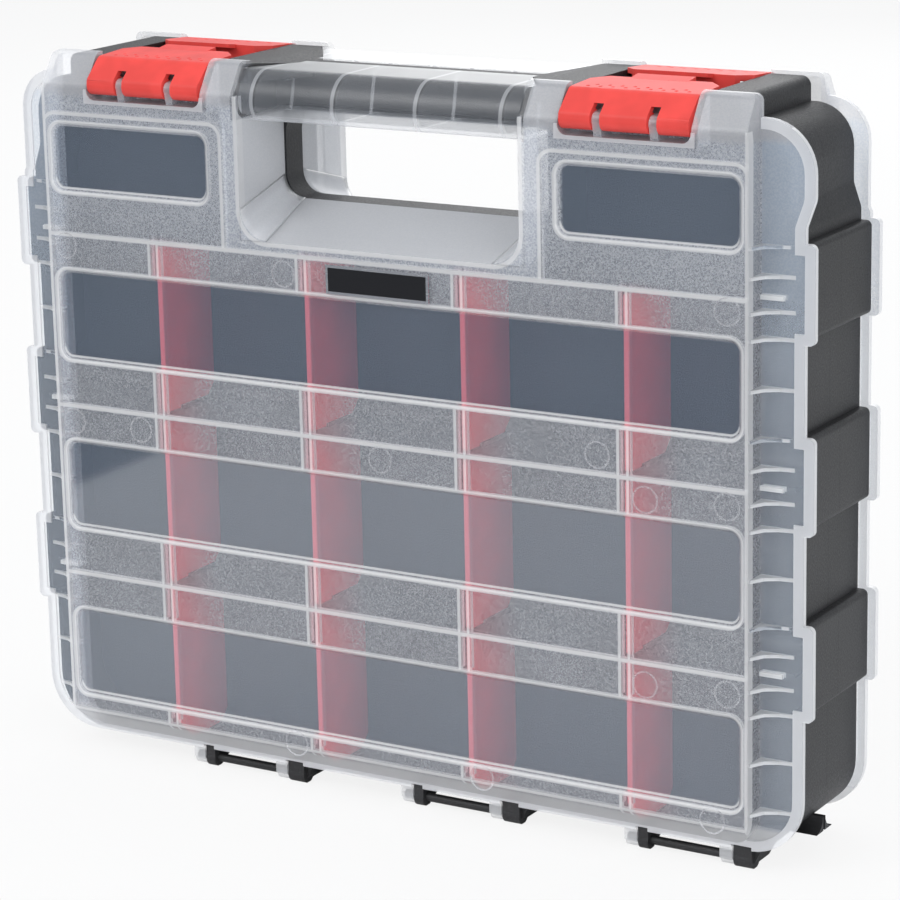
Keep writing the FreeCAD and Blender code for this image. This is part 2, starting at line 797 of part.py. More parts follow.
def dome_profile(inset=0):
    """Side view of the raised front, from the flange round to the top."""
    back = 0 - lid_seat if inset == 0 else 1.0 - lid_seat
    front = inset - size.lid_front
    slope = inset * 0.45
    return [
        (back, size.skirt_base - 1.5 + inset * 1.2),
        (0 - flange_front + inset, size.skirt_base - 1.5 + inset * 1.2, 1.0),
        (front, size.dome_base + slope, 2.5 - inset / 2),
        (front, size.dome_shoulder - slope, 6.0 - inset),
        (inset * 0.7 - size.dome_brow, size.lid_top - inset, 5.0 - inset),
        (back, size.lid_top - inset),
    ]


def make_dome(name, inset=0):
    half = size.dome_half_width + 5.0
    profile = prism_x(f"{name}_profile", dome_profile(inset), 0 - half, half)
    plan = prism_y(f"{name}_plan", dome_plan(inset), lid_seat - 3.0, size.lid_front + 2.0)
    return common(name, [profile, plan])


def windows():
    """Each window as (name, left, right, bottom, top)."""
    places = []
    for row in range(ROW_COUNT):
        bottom = row_height(row) + size.window_over - (1.0 if row == 0 else 0)
        places.append((
            f"row_{row + 1}", 0 - size.window_half_width, size.window_half_width,
            bottom, bottom + size.window_height,
        ))
    for word, side in (("left", -1), ("right", 1)):
        left, right = sorted_pair(side * size.small_window_inner, side * size.window_half_width)
        places.append((f"small_{word}", left, right, size.small_window_base, size.small_window_top))
    return places


def make_window_trays():
    """Recessed windows whose borders slant outwards at half a right angle."""
    trays = []
    recesses = []
    border = size.window_depth
    for name, left, right, bottom, top in windows():
        outline = rectangle(
            left + border, right - border, bottom + border, top - border,
            size.window_corner - border,
        )
        tray = prism_y(f"window_tray_{name}", outline, window_inside, size.lid_front)
        recess = prism_y(f"window_recess_{name}", outline, window_face, size.lid_front + 1.0)
        for item in (tray, recess):
            item.TaperAngle = 45.0
        trays.append(tray)
        recesses.append(recess)
    return trays, recesses


def make_lid_ribs():
    """Ribs inside the frosted bands: pairs over the dividers, one over each row wall."""
    items = []
    depth = (0 - lid_inside - 0.4, 0 - window_inside)
    half_slot = size.divider_wall / 2 + 0.4
    for row in range(ROW_COUNT + 1):
        middle = row_height(row)
        low = size.dome_base + 2.5 if row == 0 else middle - 15.0
        high = middle + size.window_over - 1.0
        if row == ROW_COUNT:
            high = middle + 3.0
        for column, factor in enumerate(DIVIDER_COLUMNS, start=1):
            centre = size.divider_pitch * factor
            for turn in (-1, 1):
                word = "left" if turn < 0 else "right"
                side = sorted_pair(
                    centre + turn * half_slot, centre + turn * (half_slot + size.rib_wall)
                )
                items.append(box(f"divider_rib_{row}_{column}_{word}", side, depth, (low, high)))
        if row > 0:
            items.append(box(
                f"row_rib_{row}",
                (0 - size.dome_half_width + 0.5, size.dome_half_width - 0.5), depth,
                (middle - size.rib_wall / 2, middle + size.rib_wall / 2),
            ))
    for word, side in (("left", -1), ("right", 1)):
        inner = side * size.small_frame_inner
        outer = side * (size.small_frame_inner - size.rib_wall)
        items.append(box(
            f"small_frame_upright_{word}", sorted_pair(inner, outer), depth,
            (row_height(ROW_COUNT), small_frame_top),
        ))
        items.append(box(
            f"small_frame_bar_{word}",
            sorted_pair(outer, side * (size.dome_half_width - 0.5)), depth,
            (small_frame_top - size.rib_wall, small_frame_top),
        ))
    return fuse("lid_ribs", items)


def make_scoop():
    """Hand scoop: side walls and a sloping floor that run back to the hand hole."""
    half = size.scoop_half_width
    hole_edge = size.hole_rim_half_depth + size.seat_gap
    wall = size.lid_wall
    front = size.lid_front
    floor = [
        (0 - hole_edge, size.hole_base - wall),
        (0 - hole_edge, size.hole_base),
        (0 - front + 9.0, size.scoop_base + 3.0, 14.0),
        (0 - front, size.scoop_base),
        (0 - front, size.scoop_base - wall),
        (0 - front + 9.0, size.scoop_base + 3.0 - wall, 14.0),
    ]
    floor_wall = prism_x("scoop_floor", floor, 0 - half, half)
    sides = []
    for word, side in (("left", -1), ("right", 1)):
        profile = [
            (0 - hole_edge, size.hole_base - wall),
            (0 - hole_edge, size.hole_top),
            (0 - lid_seat, size.hole_top + 4.0),
            (0 - lid_seat, size.handle_top),
            (0 - front, size.handle_top),
            (0 - front, size.scoop_base - wall),
            (0 - front + 9.0, size.scoop_base + 3.0 - wall, 14.0),
        ]
        sides.append(prism_x(
            f"scoop_side_{word}", profile, *sorted_pair(side * (half - wall), side * half)
        ))
    void = prism_y(
        "scoop_void",
        rectangle(0 - half + wall, half - wall, size.scoop_base, size.lid_top + 6.0, 0.0),
        lid_seat - 2.0, front + 2.0,
    )
    return floor_wall, sides, void


def handle_profile(inset=0, back=0):
    hole_edge = size.hole_rim_half_depth + size.seat_gap
    ridge_edge = size.ridge_half_depth + 0.4
    return [
        (0 - ridge_edge + back, size.handle_top - inset),
        (0 - size.lid_front + inset, size.handle_top - inset, size.handle_brow - inset),
        (0 - size.lid_front + inset, size.hole_top + inset, size.handle_belly - inset),
        (0 - hole_edge + back, size.hole_top + inset),
    ]


def make_handle():
    """Half-round shell in front of the handle, open at the back, with four ribs."""
    half = size.scoop_half_width - size.lid_wall / 2
    outside = prism_x("handle_outside", handle_profile(), 0 - half, half)
    inside = prism_x("handle_inside", handle_profile(size.lid_wall, 3.0), 0 - half, half)
    shell = cut("handle_shell", outside, [inside])
    ribs = []
    for place in (-60.0, -20.0, 20.0, 60.0):
        profile = [
            (0 - size.ridge_half_depth - 4.0, size.handle_top - size.lid_wall / 2),
            (0 - size.lid_front + 1.0, size.handle_top - 1.0, size.handle_brow - 1.0),
            (0 - size.lid_front + 1.0, size.hole_top + 1.0, size.handle_belly - 1.0),
            (0 - size.hole_rim_half_depth - 6.0, size.hole_top + size.lid_wall / 2),
        ]
        name = f"handle_rib_{'left' if place < 0 else 'right'}_{int(abs(place))}"
        ribs.append(prism_x(
            name, profile, place - size.handle_rib / 2, place + size.handle_rib / 2
        ))
    return [shell] + ribs


def make_latch_pocket(word, side):
    """Walls of the pocket a latch lies in, their raised frame, the air inside, the lugs."""
    centre = side * size.latch_centre
    grow = size.lid_wall
    base = size.latch_pocket_base
    housing = prism_y(
        f"pocket_walls_{word}",
        rectangle(centre - pocket_half - grow, centre + pocket_half + grow, base - grow,
                  size.lid_top - 0.01, 0.0),
        lid_seat, size.lid_front,
    )
    air = prism_y(
        f"pocket_air_{word}",
        [
            (centre - pocket_half, base, 4.0), (centre + pocket_half, base, 4.0),
            (centre + pocket_half, size.lid_top + 5.0), (centre - pocket_half, size.lid_top + 5.0),
        ],
        flange_front, size.lid_front + 3.0,
    )
    over = box(
        f"pocket_over_{word}", (centre - pocket_half, centre + pocket_half),
        (0 - flange_front - 1.0, 0 - lid_seat + 5.0), (size.latch_bed + 1.6, size.lid_top + 5.0),
    )
    edge = size.pocket_frame
    frame = prism_y(
        f"pocket_frame_{word}",
        rectangle(centre - pocket_half - edge, centre + pocket_half + edge, base - edge,
                  size.dome_shoulder - 1.5, 0.0),
        size.lid_front - 0.5, size.lid_front + size.pocket_frame_height,
    )
    lugs = []
    for number, turn in ((1, -1), (2, 1)):
        middle = centre + turn * size.latch_lug_offset
        half = size.latch_lug_wall / 2
        name = f"latch_lug_{word}_{number}"
        axis = (0 - size.latch_axis_depth, size.latch_axis_height)
        reach = size.latch_lug_radius
        web = [
            (0 - flange_front + 0.5, base - 0.5), (0 - flange_front + 0.5, axis[1] + reach + 1.0),
            (axis[0], axis[1] + reach), (axis[0] - reach, axis[1]), (axis[0] - 1.5, base - 0.5),
        ]
        lugs += [
            prism_x(f"{name}_web", web, middle - half, middle + half),
            rod_x(f"{name}_round", reach, (middle - half, middle + half), *axis),
            rod_x(
                f"{name}_stub", size.stub_radius,
                (middle - half - size.stub_length, middle + half + size.stub_length), *axis,
            ),
        ]
    return housing, frame, [air, over], lugs


def fin_heights():
    """Fins along each side of the raised front, as heights."""
    heights = []
    for step in range(1, ROW_COUNT + 1):
        middle = row_height(step) + size.bump_rise
        heights += [middle - size.lid_bump_height / 2 + 1.6, middle - 7.5, middle + 6.5,
                    middle + size.lid_bump_height / 2 - 1.6]
        heights.append(row_height(step) + size.row_pitch / 2 + size.bump_rise - size.row_pitch)
    heights.append(28.0)
    return heights


def make_fins():
    """Gusset fins from the raised front's side wall out to the flange."""
    items = []
    side = size.dome_half_width
    half = size.fin_wall / 2
    root = 0 - flange_front + 1.0
    for number, height in enumerate(fin_heights(), start=1):
        height = as_size(height)
        for word, turn in (("left", -1), ("right", 1)):
            plan = [
                (turn * (side - 0.5), root),
                (turn * (side - 0.5), 0 - size.lid_front + 0.8),
                (turn * (side + 0.6), 0 - size.lid_front + 0.9),
                (turn * (side + 4.0), 0 - flange_front - 4.0),
                (turn * (side + 9.0), 0 - flange_front - 1.2),
                (turn * (size.lid_half_width - size.flange_band + 0.2), 0 - flange_front),
                (turn * (size.lid_half_width - size.flange_band + 0.2), root),
            ]
            items.append(prism_z(f"fin_{word}_{number}", plan, height - half, height + half))
    for step in range(1, ROW_COUNT + 1):
        middle = row_height(step)
        for word, turn in (("left", -1), ("right", 1)):
            across = sorted_pair(turn * (side - 0.5), turn * (side + 10.5))
            items.append(box(
                f"row_fin_{word}_{step}", across,
                (0 - flange_front - 1.2, root), (middle - 0.9, middle + 0.9),
            ))
    return items


def make_hinge_clips():
    """C-shaped clips that snap round the hinge rods, and the notches for the lugs."""
    clips = []
    notches = []
    axis = (0 - size.rod_depth, size.rod_height)
    bore = size.rod_radius + size.rod_fit
    half_span = size.rod_span / 2
    for number, middle in enumerate(hinge_centres, start=1):
        lug_right = middle - half_span
        lug_left = lug_right - size.lug_wall
        clip_right = middle + half_span
        block_left = clip_right + size.clip_width + size.clip_gap
        for word, low in (("left", lug_left - size.clip_gap - size.clip_width), ("right", clip_right)):
            name = f"clip_{number}_{word}"
            span = (low, low + size.clip_width)
            ring = rod_x(f"{name}_ring", bore + size.clip_wall, span, *axis)
            web = prism_x(f"{name}_web", [
                (0 - flange_front, size.lid_base + 2.0), (0 - flange_front, axis[1]),
                (axis[0] - bore, axis[1]), (0 - lid_seat, size.lid_base + 2.0),
            ], *span)
            body = fuse(f"{name}_solid", [ring, web])
            wide = (low - 1.0, low + size.clip_width + 1.0)
            hole = rod_x(f"{name}_bore", bore, wide, *axis)
            mouth = prism_x(f"{name}_mouth", [
                (axis[0], axis[1]), (axis[0] + 6.0, axis[1] - 1.0), (axis[0] + 6.0, axis[1] + 9.0),
                (axis[0] - 1.6, axis[1] + 9.0), (axis[0] - 0.9, axis[1] + 1.9),
            ], *wide)
            clips.append(cut(name, body, [hole, mouth]))
        for word, low, high in (
            ("lug", lug_left, lug_right), ("end", block_left, block_left + size.end_block)
        ):
            notches.append(box(
                f"notch_{number}_{word}", (low - 0.5, high + 0.5),
                (0 - flange_front - 1.0, 0 - lid_seat + 1.0),
                (size.lid_base - 1.0, size.lid_base + 1.6),
            ))
    return clips, notches


def make_front_lid():
    dome = make_dome("lid_dome")
    hollow = make_dome("lid_hollow", size.lid_wall)
    trays, recesses = make_window_trays()
    scoop_floor, scoop_sides, scoop_void = make_scoop()
    pocket_walls = []
    pocket_frames = []
    pocket_air = []
    latch_lugs = []
    for word, side in (("left", -1), ("right", 1)):
        walls, frame, air, lugs = make_latch_pocket(word, side)
        pocket_walls.append(walls)
        pocket_frames.append(frame)
        pocket_air += air
        latch_lugs += lugs
    pockets = common("pocket_housings", [fuse("pocket_wall_pair", pocket_walls), dome])
    shell = cut("lid_shell", fuse("lid_outside", make_flange() + [dome]), [hollow, scoop_void])
    clips, notches = make_hinge_clips()
    scoop_walls = common("scoop_housings", [
        fuse("scoop_wall_set", [scoop_floor] + scoop_sides),
        fuse("scoop_limits", [
            dome,
            box("scoop_limit_box", (0 - size.scoop_half_width, size.scoop_half_width),
                (0 - lid_seat, 0 - size.hole_rim_half_depth - size.seat_gap),
                (size.scoop_base - 6.0, size.handle_top)),
        ]),
    ])
    body = fuse("lid_body", [shell, pockets, scoop_walls] + pocket_frames + trays)
    open_body = cut("lid_open_body", body, recesses + pocket_air + notches)
    parts = [open_body, make_lid_ribs()] + make_handle() + latch_lugs + make_fins() + clips
    whole = fuse("lid_whole", parts)
    ramp_clear = [make_ramp("ramp_clear_left", -1, 0.4), make_ramp("ramp_clear_right", 1, 0.4)]
    return cut("front_lid", whole, ramp_clear)


# Latch, drawn at the front with its middle at x = 0


def latch_profile():
    axis_y = 0 - size.latch_axis_depth
    axis_z = size.latch_axis_height
    wall = size.latch_wall
    lip = 0 - size.lip_depth
    return [
        (axis_y - size.knuckle_radius, axis_z),
        (axis_y, axis_z),
        (axis_y + 0.4, axis_z + 3.6, 2.0),
        (0 - size.latch_crown_depth, size.latch_bed + 3.9, 3.0),
        (lip - size.lip_wall, size.latch_bed + 5.4),
        (lip - size.lip_wall, size.lip_base),
        (lip, size.lip_base),
        (lip, size.latch_bed + 5.5 + wall),
        (0 - size.latch_crown_depth - 1.0, size.latch_bed + 4.1 + wall, 4.0),
        (axis_y - size.knuckle_radius + 0.3, axis_z + 2.6, 3.0),
    ]


def make_latch(name, x_place, turned):
    """One latch: padded profile, knuckle, tab, bevelled corners, slots and stub sockets."""
    half = latch_half
    axis = (0 - size.latch_axis_depth, size.latch_axis_height)
    wall = size.latch_wall
    plate = prism_x(f"{name}_plate", latch_profile(), 0 - half, half)
    knuckle = rod_x(f"{name}_knuckle", size.knuckle_radius, (0 - half, half), *axis)
    tab_half = size.tab_width / 2
    rear = 0 - size.lip_depth
    tip = 0 - size.tab_depth
    top = size.latch_bed + 5.5 + wall
    tab = prism_x(f"{name}_tab", [
        (rear - 2.0, top - wall + 0.3), (tip, top - 0.7), (tip, top + 0.9), (rear - 2.0, top - 0.1),
    ], 0 - tab_half, tab_half)
    solid = fuse(f"{name}_solid", [plate, knuckle, tab])
    tools = []
    for number, turn in ((1, -1), (2, 1)):
        corner = prism_z(f"{name}_bevel_{number}", [
            (turn * (half - 7.0), rear + 1.0), (turn * (half + 1.0), rear + 1.0),
            (turn * (half + 1.0), rear - 7.0),
        ], size.lip_base - 1.0, top + 2.0)
        middle = turn * size.latch_lug_offset
        slot_half = size.latch_lug_wall / 2 + size.slot_gap
        slot = box(
            f"{name}_slot_{number}", (middle - slot_half, middle + slot_half),
            (axis[0] - 8.0, axis[0] + 9.0), (axis[1] - 8.0, size.slot_top),
        )
        stub_half = size.latch_lug_wall / 2 + size.stub_length + 0.2
        socket = rod_x(
            f"{name}_socket_{number}", size.stub_radius + size.stub_fit,
            (middle - stub_half, middle + stub_half), *axis,
        )
        tools += [corner, slot, socket]
    latch = cut(name, solid, tools)
    if turned:
        latch.Placement = FreeCAD.Placement(vector(0, 0, 0), HALF_TURN)
    bind(latch, "Placement.Base.x", x_place)
    return latch


# Divider


def make_divider(name, x_place, row, turned):
    """One divider: a plate whose bevelled corners clear the lid and the body's coves."""
    body = doc.addObject("PartDesign::Body", name)
    plane = [item for item in body.Origin.OriginFeatures if item.Role == "YZ_Plane"][0]
    sketch = body.newObject("Sketcher::SketchObject", f"{name}_outline")
    sketch.AttachmentSupport = [(plane, "")]
    sketch.MapMode = "FlatFace"
    lower = 0.3
    upper = lower + size.divider_height
    near = half_floor + 0.3
    far = window_inside - 0.3
    bevel = size.divider_corner
    foot = size.cove + 0.5
    corners = [
        (0 - near - foot, lower),
        (0 - near, lower + foot),
        (0 - near, upper - foot),
        (0 - near - foot, upper),
        (0 - far + bevel, upper),
        (0 - far, upper - bevel),
        (0 - far, lower + bevel),
        (0 - far + bevel, lower),
    ]
    draw_outline(sketch, corners)
    pad = body.newObject("PartDesign::Pad", f"{name}_pad")
    pad.Profile = sketch
    bind(pad, "Length", size.divider_wall)
    body.Tip = pad
    half = size.divider_wall / 2
    edge = row_height(row) + (size.wall + 0.1 if row == 0 else size.row_wall / 2)
    if turned:
        body.Placement = FreeCAD.Placement(vector(0, 0, 0), HALF_TURN)
        bind_place(body, 0 - x_place + half, 0, edge)
    else:
        bind_place(body, x_place - half, 0, edge)
    return body


# Badge


def make_badge():
    half = size.badge_width / 2
    face = size.lid_front
    rim = size.badge_frame_wall
    outer = rectangle(0 - half, half, size.badge_base, size.badge_top)
    inner = rectangle(0 - half + rim, half - rim, size.badge_base + rim, size.badge_top - rim)
    block = prism_y("badge_frame_block", outer, face, face + size.badge_frame_height)
    window = prism_y("badge_frame_window", inner, face - 1.0, face + size.badge_frame_height + 1.0)
    frame = cut("badge_frame", block, [window])
    plate = prism_y("badge_plate", inner, face, face + size.badge_plate_height)
    return frame, plate


# Assembly

sub_parts = []


def keep(item, label):
    item.Label = label
    sub_parts.append(item)


keep(make_case_body(), "case_body")
front_lid = make_front_lid()
keep(front_lid, "front_lid")
for face_word, face_turned in (("front", False), ("rear", True)):
    for side_word, side_sign in (("left", -1), ("right", 1)):
        latch_name = f"{face_word}_{side_word}_latch"
        keep(make_latch(latch_name, side_sign * size.latch_centre, face_turned), latch_name)
    for row_step in range(ROW_COUNT):
        for column_step, column_factor in enumerate(DIVIDER_COLUMNS, start=1):
            divider_name = f"{face_word}_divider_{row_step + 1}_{column_step}"
            place_x = size.divider_pitch * column_factor
            keep(make_divider(divider_name, place_x, row_step, face_turned), divider_name)
badge_frame, badge_plate = make_badge()
keep(badge_frame, "badge_frame")
keep(badge_plate, "badge_plate")
doc.recompute()

rear_lid = doc.addObject("Part::Feature", "rear_lid")
rear_lid.Shape = front_lid.Shape.copy()
rear_lid.Placement = FreeCAD.Placement(vector(0, 0, 0), HALF_TURN)
keep(rear_lid, "rear_lid")
doc.recompute()

for item in doc.Objects:
    if "Invalid" in item.State or "Error" in item.State:
        raise RuntimeError(f"{item.Name} failed: {item.State}")
for item in sub_parts:
    if item.Shape.isNull() or not item.Shape.isValid():
        raise RuntimeError(f"{item.Label} has no valid shape")

os.makedirs("parts", exist_ok=True)
for item in sub_parts:
    item.Shape.exportStep(os.path.join("parts", f"{item.Label}.step"))
    print(item.Label, len(item.Shape.Solids), round(item.Shape.Volume))
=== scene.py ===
"""Looks of a double-sided organizer box: clear lids over a black body with red fittings."""

import json
import math

import bmesh
import bpy
from mathutils import Matrix, Vector
from mathutils.bvhtree import BVHTree

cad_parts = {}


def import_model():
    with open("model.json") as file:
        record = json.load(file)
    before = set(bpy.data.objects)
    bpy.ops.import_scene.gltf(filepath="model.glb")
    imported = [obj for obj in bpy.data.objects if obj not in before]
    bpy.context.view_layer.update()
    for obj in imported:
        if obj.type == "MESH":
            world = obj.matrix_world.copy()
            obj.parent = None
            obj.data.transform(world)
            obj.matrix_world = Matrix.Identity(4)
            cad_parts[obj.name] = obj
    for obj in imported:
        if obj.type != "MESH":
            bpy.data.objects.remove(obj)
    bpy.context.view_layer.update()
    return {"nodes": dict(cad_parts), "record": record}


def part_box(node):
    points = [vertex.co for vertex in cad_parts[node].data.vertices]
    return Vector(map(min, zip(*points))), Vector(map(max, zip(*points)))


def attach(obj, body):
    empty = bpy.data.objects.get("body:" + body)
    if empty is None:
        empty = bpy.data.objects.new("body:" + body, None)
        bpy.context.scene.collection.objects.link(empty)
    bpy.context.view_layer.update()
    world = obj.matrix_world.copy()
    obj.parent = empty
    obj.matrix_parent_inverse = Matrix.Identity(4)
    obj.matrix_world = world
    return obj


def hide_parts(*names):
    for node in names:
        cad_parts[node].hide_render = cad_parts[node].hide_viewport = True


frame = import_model()
nodes = frame["nodes"]

# View of the photograph: direction from the object to the camera in degrees, and the lens
VIEW_AZIMUTH = 31.10
VIEW_ELEVATION = 14.63
VIEW_ROLL = -1.26
VIEW_DISTANCE = 1.4251
VIEW_TARGET = Vector((0.00787, 0.0, 0.15255))
SENSOR_WIDTH = 36.0
LENS = 132.84

# Places on a lid, in metres: heights from the ground, widths and depths from the middle
LID_FRONT = 0.0422
LID_WALL = 0.0018
FRONT_RIM = 0.0379
PANE_FRONT = 0.0398
SCOOP_FRONT = 0.0417
LATCH_FRAME_FRONT = LID_FRONT + 0.0002
SLOPE_FRONT = 0.0318
FIN_FRONT = 0.0310
BAND_FACE = 0.0321
BAND_EDGE_FRONT = BAND_FACE - 0.00015
BAND_INNER = 0.183
DOME_SIDE = 0.1698
DOME_BASE = 0.0213
SLOPE_SIDE = DOME_SIDE + 0.0004
SLOPE_TOP = 0.306
SHOULDER_BASE = 0.3065
SHOULDER_LOW = 0.3020
SKIRT_TOP = 0.0195
LATCH_FRAME_BASE = 0.294
WINDOW_SIDE = 0.167
WINDOW_CORNER = 0.006
WINDOW_SLOPE = 0.002
WINDOW_CLEAR = 0.0002
ROW_WINDOWS = ((0.0281, 0.0696), (0.1064, 0.1479), (0.1837, 0.2252))
SMALL_WINDOW = (0.084, 0.259, 0.290)
SMALL_FRAME = (0.077, 0.2939)
ROW_LINES = (0.0860, 0.1633, 0.2406)
ROW_STEP_SIDE = DOME_SIDE + 0.0107
FIN_LINES = (0.0280, 0.04945, 0.0697, 0.0806, 0.0946, 0.12675, 0.1470, 0.1579, 0.1719,
             0.20405, 0.2243, 0.2352, 0.2492)
FIN_SIDE = 0.1850
DIVIDER_PITCH = 0.076
RIB_OFFSET = 0.0022
RIB_FOOT = 0.0185
SCOOP_SIDE = 0.0696
SCOOP_LOW = 0.2455
SCOOP_TOP = 0.2965
SCOOP_CORNER = 0.013
SCOOP_REACH = 0.10
SCOOP_ZONE_SIDE = SCOOP_SIDE + 0.0002
SCOOP_ZONE_BASE = SCOOP_LOW - 0.002
HANDLE_SIDE = SCOOP_SIDE + 0.001
HANDLE_RIBS = (0.020, 0.060)
HANDLE_RIB_SIDE = 0.066
HANDLE_RIB_BASE = SCOOP_TOP + 0.001
HOLE_CORNER = 0.010
HOLE_BASE = 0.2583
HOLE_EDGE = 0.0065

# Lengths over which the edges of the zones fade
EDGE_FADE = 0.0003
SHARP_FADE = 0.0001
PANE_FADE = 0.00012
FIN_FADE = 0.0002
SKIRT_FADE = 0.0015
SHOULDER_FADE = 0.002
NEAR_SCOOP_FADES = (0.002, 0.001)
PAINTED_GLOW_FADE = 0.004

# Share of a face's normal along an axis, above which the face looks that way
SQUARE_ON = 0.9
SQUARE_FADE = 0.05
HALF_TURNED = 0.5
HALF_FADE = 0.1

# White lines on the plastic: half width, and the length over which they fade
ROW_LINE = (0.0006, 0.0007)
ROW_STEP_LINE = (0.0009, 0.0004)
RIB_LINE = (0.0004, 0.0005)
BORDER_LINE = (0.0005, 0.0006)
SILL_LINE = (0.00025, 0.0004)
SILL_BAND = (0.0025, 0.003)
SIDE_LINE = (0.0006, 0.0006)
SCOOP_LINE = (0.0007, 0.0006)
FIN_LINE = (0.0006, 0.0005)
HANDLE_LINE = (0.0007, 0.0006)
BAND_LINE = (0.0002, 0.0002)
SEAM_LINE = (0.00025, 0.0003)

# Clear plastic: each zone's colour and opacity. Of two colours, the first is the dark end
# of the speckle. A zone without an opacity has one that changes from place to place.
ZONE_LOOKS = {
    "slope": (((0.66, 0.76, 0.90, 1.0), (0.80, 0.89, 1.0, 1.0)), None),
    "fin_end": (((0.95, 0.96, 0.98, 1.0),), 0.46),
    "fin": (((0.96, 0.97, 0.98, 1.0),), 0.52),
    "row_step": (((0.96, 0.97, 0.98, 1.0),), 0.60),
    "skirt": (((0.90, 0.91, 0.93, 1.0),), 0.36),
    "shoulder": (((0.84, 0.86, 0.92, 1.0), (0.93, 0.94, 0.97, 1.0)), 0.26),
    "latch_frame": (((0.93, 0.92, 0.95, 1.0),), 0.50),
    "handle": (((0.56, 0.63, 0.74, 1.0), (0.78, 0.83, 0.92, 1.0)), 0.045),
    "scoop": (((0.88, 0.90, 0.94, 1.0), (0.95, 0.96, 0.99, 1.0)), 0.45),
    "pane": (((0.29, 0.38, 0.52, 1.0),), None),
    "band": (((0.95, 0.96, 0.99, 1.0),), 0.54),
    "band_edge": (((0.96, 0.96, 0.97, 1.0),), 0.66),
    "handle_rib_face": (((0.60, 0.64, 0.70, 1.0),), 0.012),
    "handle_rib_edge": (((0.88, 0.90, 0.94, 1.0),), 0.26),
    # Thicker plastic, whitened further by a painted edge highlight
    "thick": (((0.97, 0.97, 0.98, 1.0),), 0.50),
}
FROST = ((0.68, 0.73, 0.84, 1.0), (0.92, 0.95, 1.0, 1.0))
FROST_OPACITY = 0.085
SPECKLE_OPACITY = 0.105
CLOUD_OPACITY = 0.07
NEAR_SCOOP_OPACITY = 0.10
HIGH_OPACITY = 0.10
SLOPE_OPACITY = (0.165, 0.30)
PANE_OPACITY = 0.12
PANE_CLOUD_OPACITY = 0.03
NEAR_SCOOP_BASE = 0.2410
NEAR_SCOOP_SIDE = 0.0765
HIGH_RANGE = (0.205, 0.290)
SLOPE_RANGE = (0.150, 0.300)
# Painted glow: a pink tint on the frosted bands beside each divider, standing in for red light from
# the dividers behind
DIVIDER_PAINTED_GLOW = (0.95, 0.42, 0.48, 1.0)
DIVIDER_PAINTED_GLOW_SHARE = 0.62
PAINTED_GLOW_START = 5 * DIVIDER_PITCH / 2 + 0.002
PAINTED_GLOW_RISE = (0.0, 0.002)
PAINTED_GLOW_FALL = (0.004, 0.030)
PAINTED_GLOW_SIDE = 0.150
SPECKLE_SCALE = 1250.0
SPECKLE_RANGE = (0.36, 0.64)
CLOUD_SCALE = 22.0
FROST_RELIEF = 0.00005
PLAIN_ROUGHNESS = 0.34
PANE_ROUGHNESS = 0.05
PLAIN_GLOSS = 0.9
PANE_GLOSS = 2.5
MARK_TONES = ((0.80, 0.82, 0.86, 1.0), (0.95, 0.95, 0.97, 1.0))
MARK_OPACITY = 0.13
MARK_SPECKLE_OPACITY = 0.11
MARK_SPECKLE_SCALE = 900.0

# Black and red plastics
BODY_TONES = ((0.017, 0.017, 0.018, 1.0), (0.026, 0.026, 0.028, 1.0))
BODY_SEAM = (0.006, 0.006, 0.007, 1.0)
BODY_SEAM_SIDE = 0.170
BODY_SPECKS = (0.075, 0.075, 0.077, 1.0)
BODY_SPECK_SCALE = 900.0
BODY_GRAIN_SCALE = 1300.0
BODY_CLOUD_SCALE = 18.0
RED_GRAIN_SCALE = 2200.0
RED_CLOUD_SCALE = 60.0
LATCH_RED = (0.93, 0.088, 0.076)
DIVIDER_RED = (1.0, 0.07, 0.10)
# Painted shade on the dividers towards the floor wall, and a painted highlight along their front
# edge
DIVIDER_PAINTED_SHADE = (0.32, 0.04, 0.06, 1.0)
DIVIDER_PAINTED_HIGHLIGHT = (1.0, 0.19, 0.23, 1.0)
PAINTED_SHADE_RANGE = (0.0020, 0.0300)
PAINTED_SHADE_SHARE = 0.45
PAINTED_HIGHLIGHT_RANGE = (0.0340, 0.0380)
DARKER = 0.86
BADGE_BLACK = (0.012, 0.012, 0.014, 1.0)
BADGE_SILVER = (0.78, 0.78, 0.80, 1.0)
BRUSHING = (40.0, 40.0, 2400.0)

# Forms of the pieces that replace the dividers and the latches, and of those that are added
DIVIDER_BEVEL = 0.0065
DIVIDER_TIP = 0.0012
DIVIDER_EDGE = 0.0003
BOTTOM_BEVEL = 0.0115
DIMPLE_ROWS = ((0.0296, 9), (0.0268, 8))
DIMPLE_PITCH = 0.0056
DIMPLE_RADIUS = 0.0012
DIMPLE_LIFT = 0.0007
LEVEL_ENOUGH = 0.7
PROBE_HEIGHT = 0.01
PIN_RADIUS = 0.0059
PIN_WIDTH = 0.0008
PIN_HEIGHT = 0.00012
PIN_STEPS = 32
PIN_MARKS = ((-0.0468, 0.2327), (-0.1606, 0.1563), (-0.1246, 0.1563), (-0.0011, 0.1571),
             (0.1024, 0.1713), (0.1241, 0.1552), (0.1606, 0.2356), (0.1606, 0.1568),
             (0.1235, 0.0770), (0.1606, 0.0785), (0.0456, 0.0236), (-0.0480, 0.0236),
             (0.1538, 0.0236), (-0.1606, 0.2356))
COVE_GAP = 0.0001
COVE_LIFT = 0.0003
COVE_STATIONS = 9
COVE_STEPS = 12
EDGE_ROUND = 0.0004
EDGE_ANGLE = 50.0

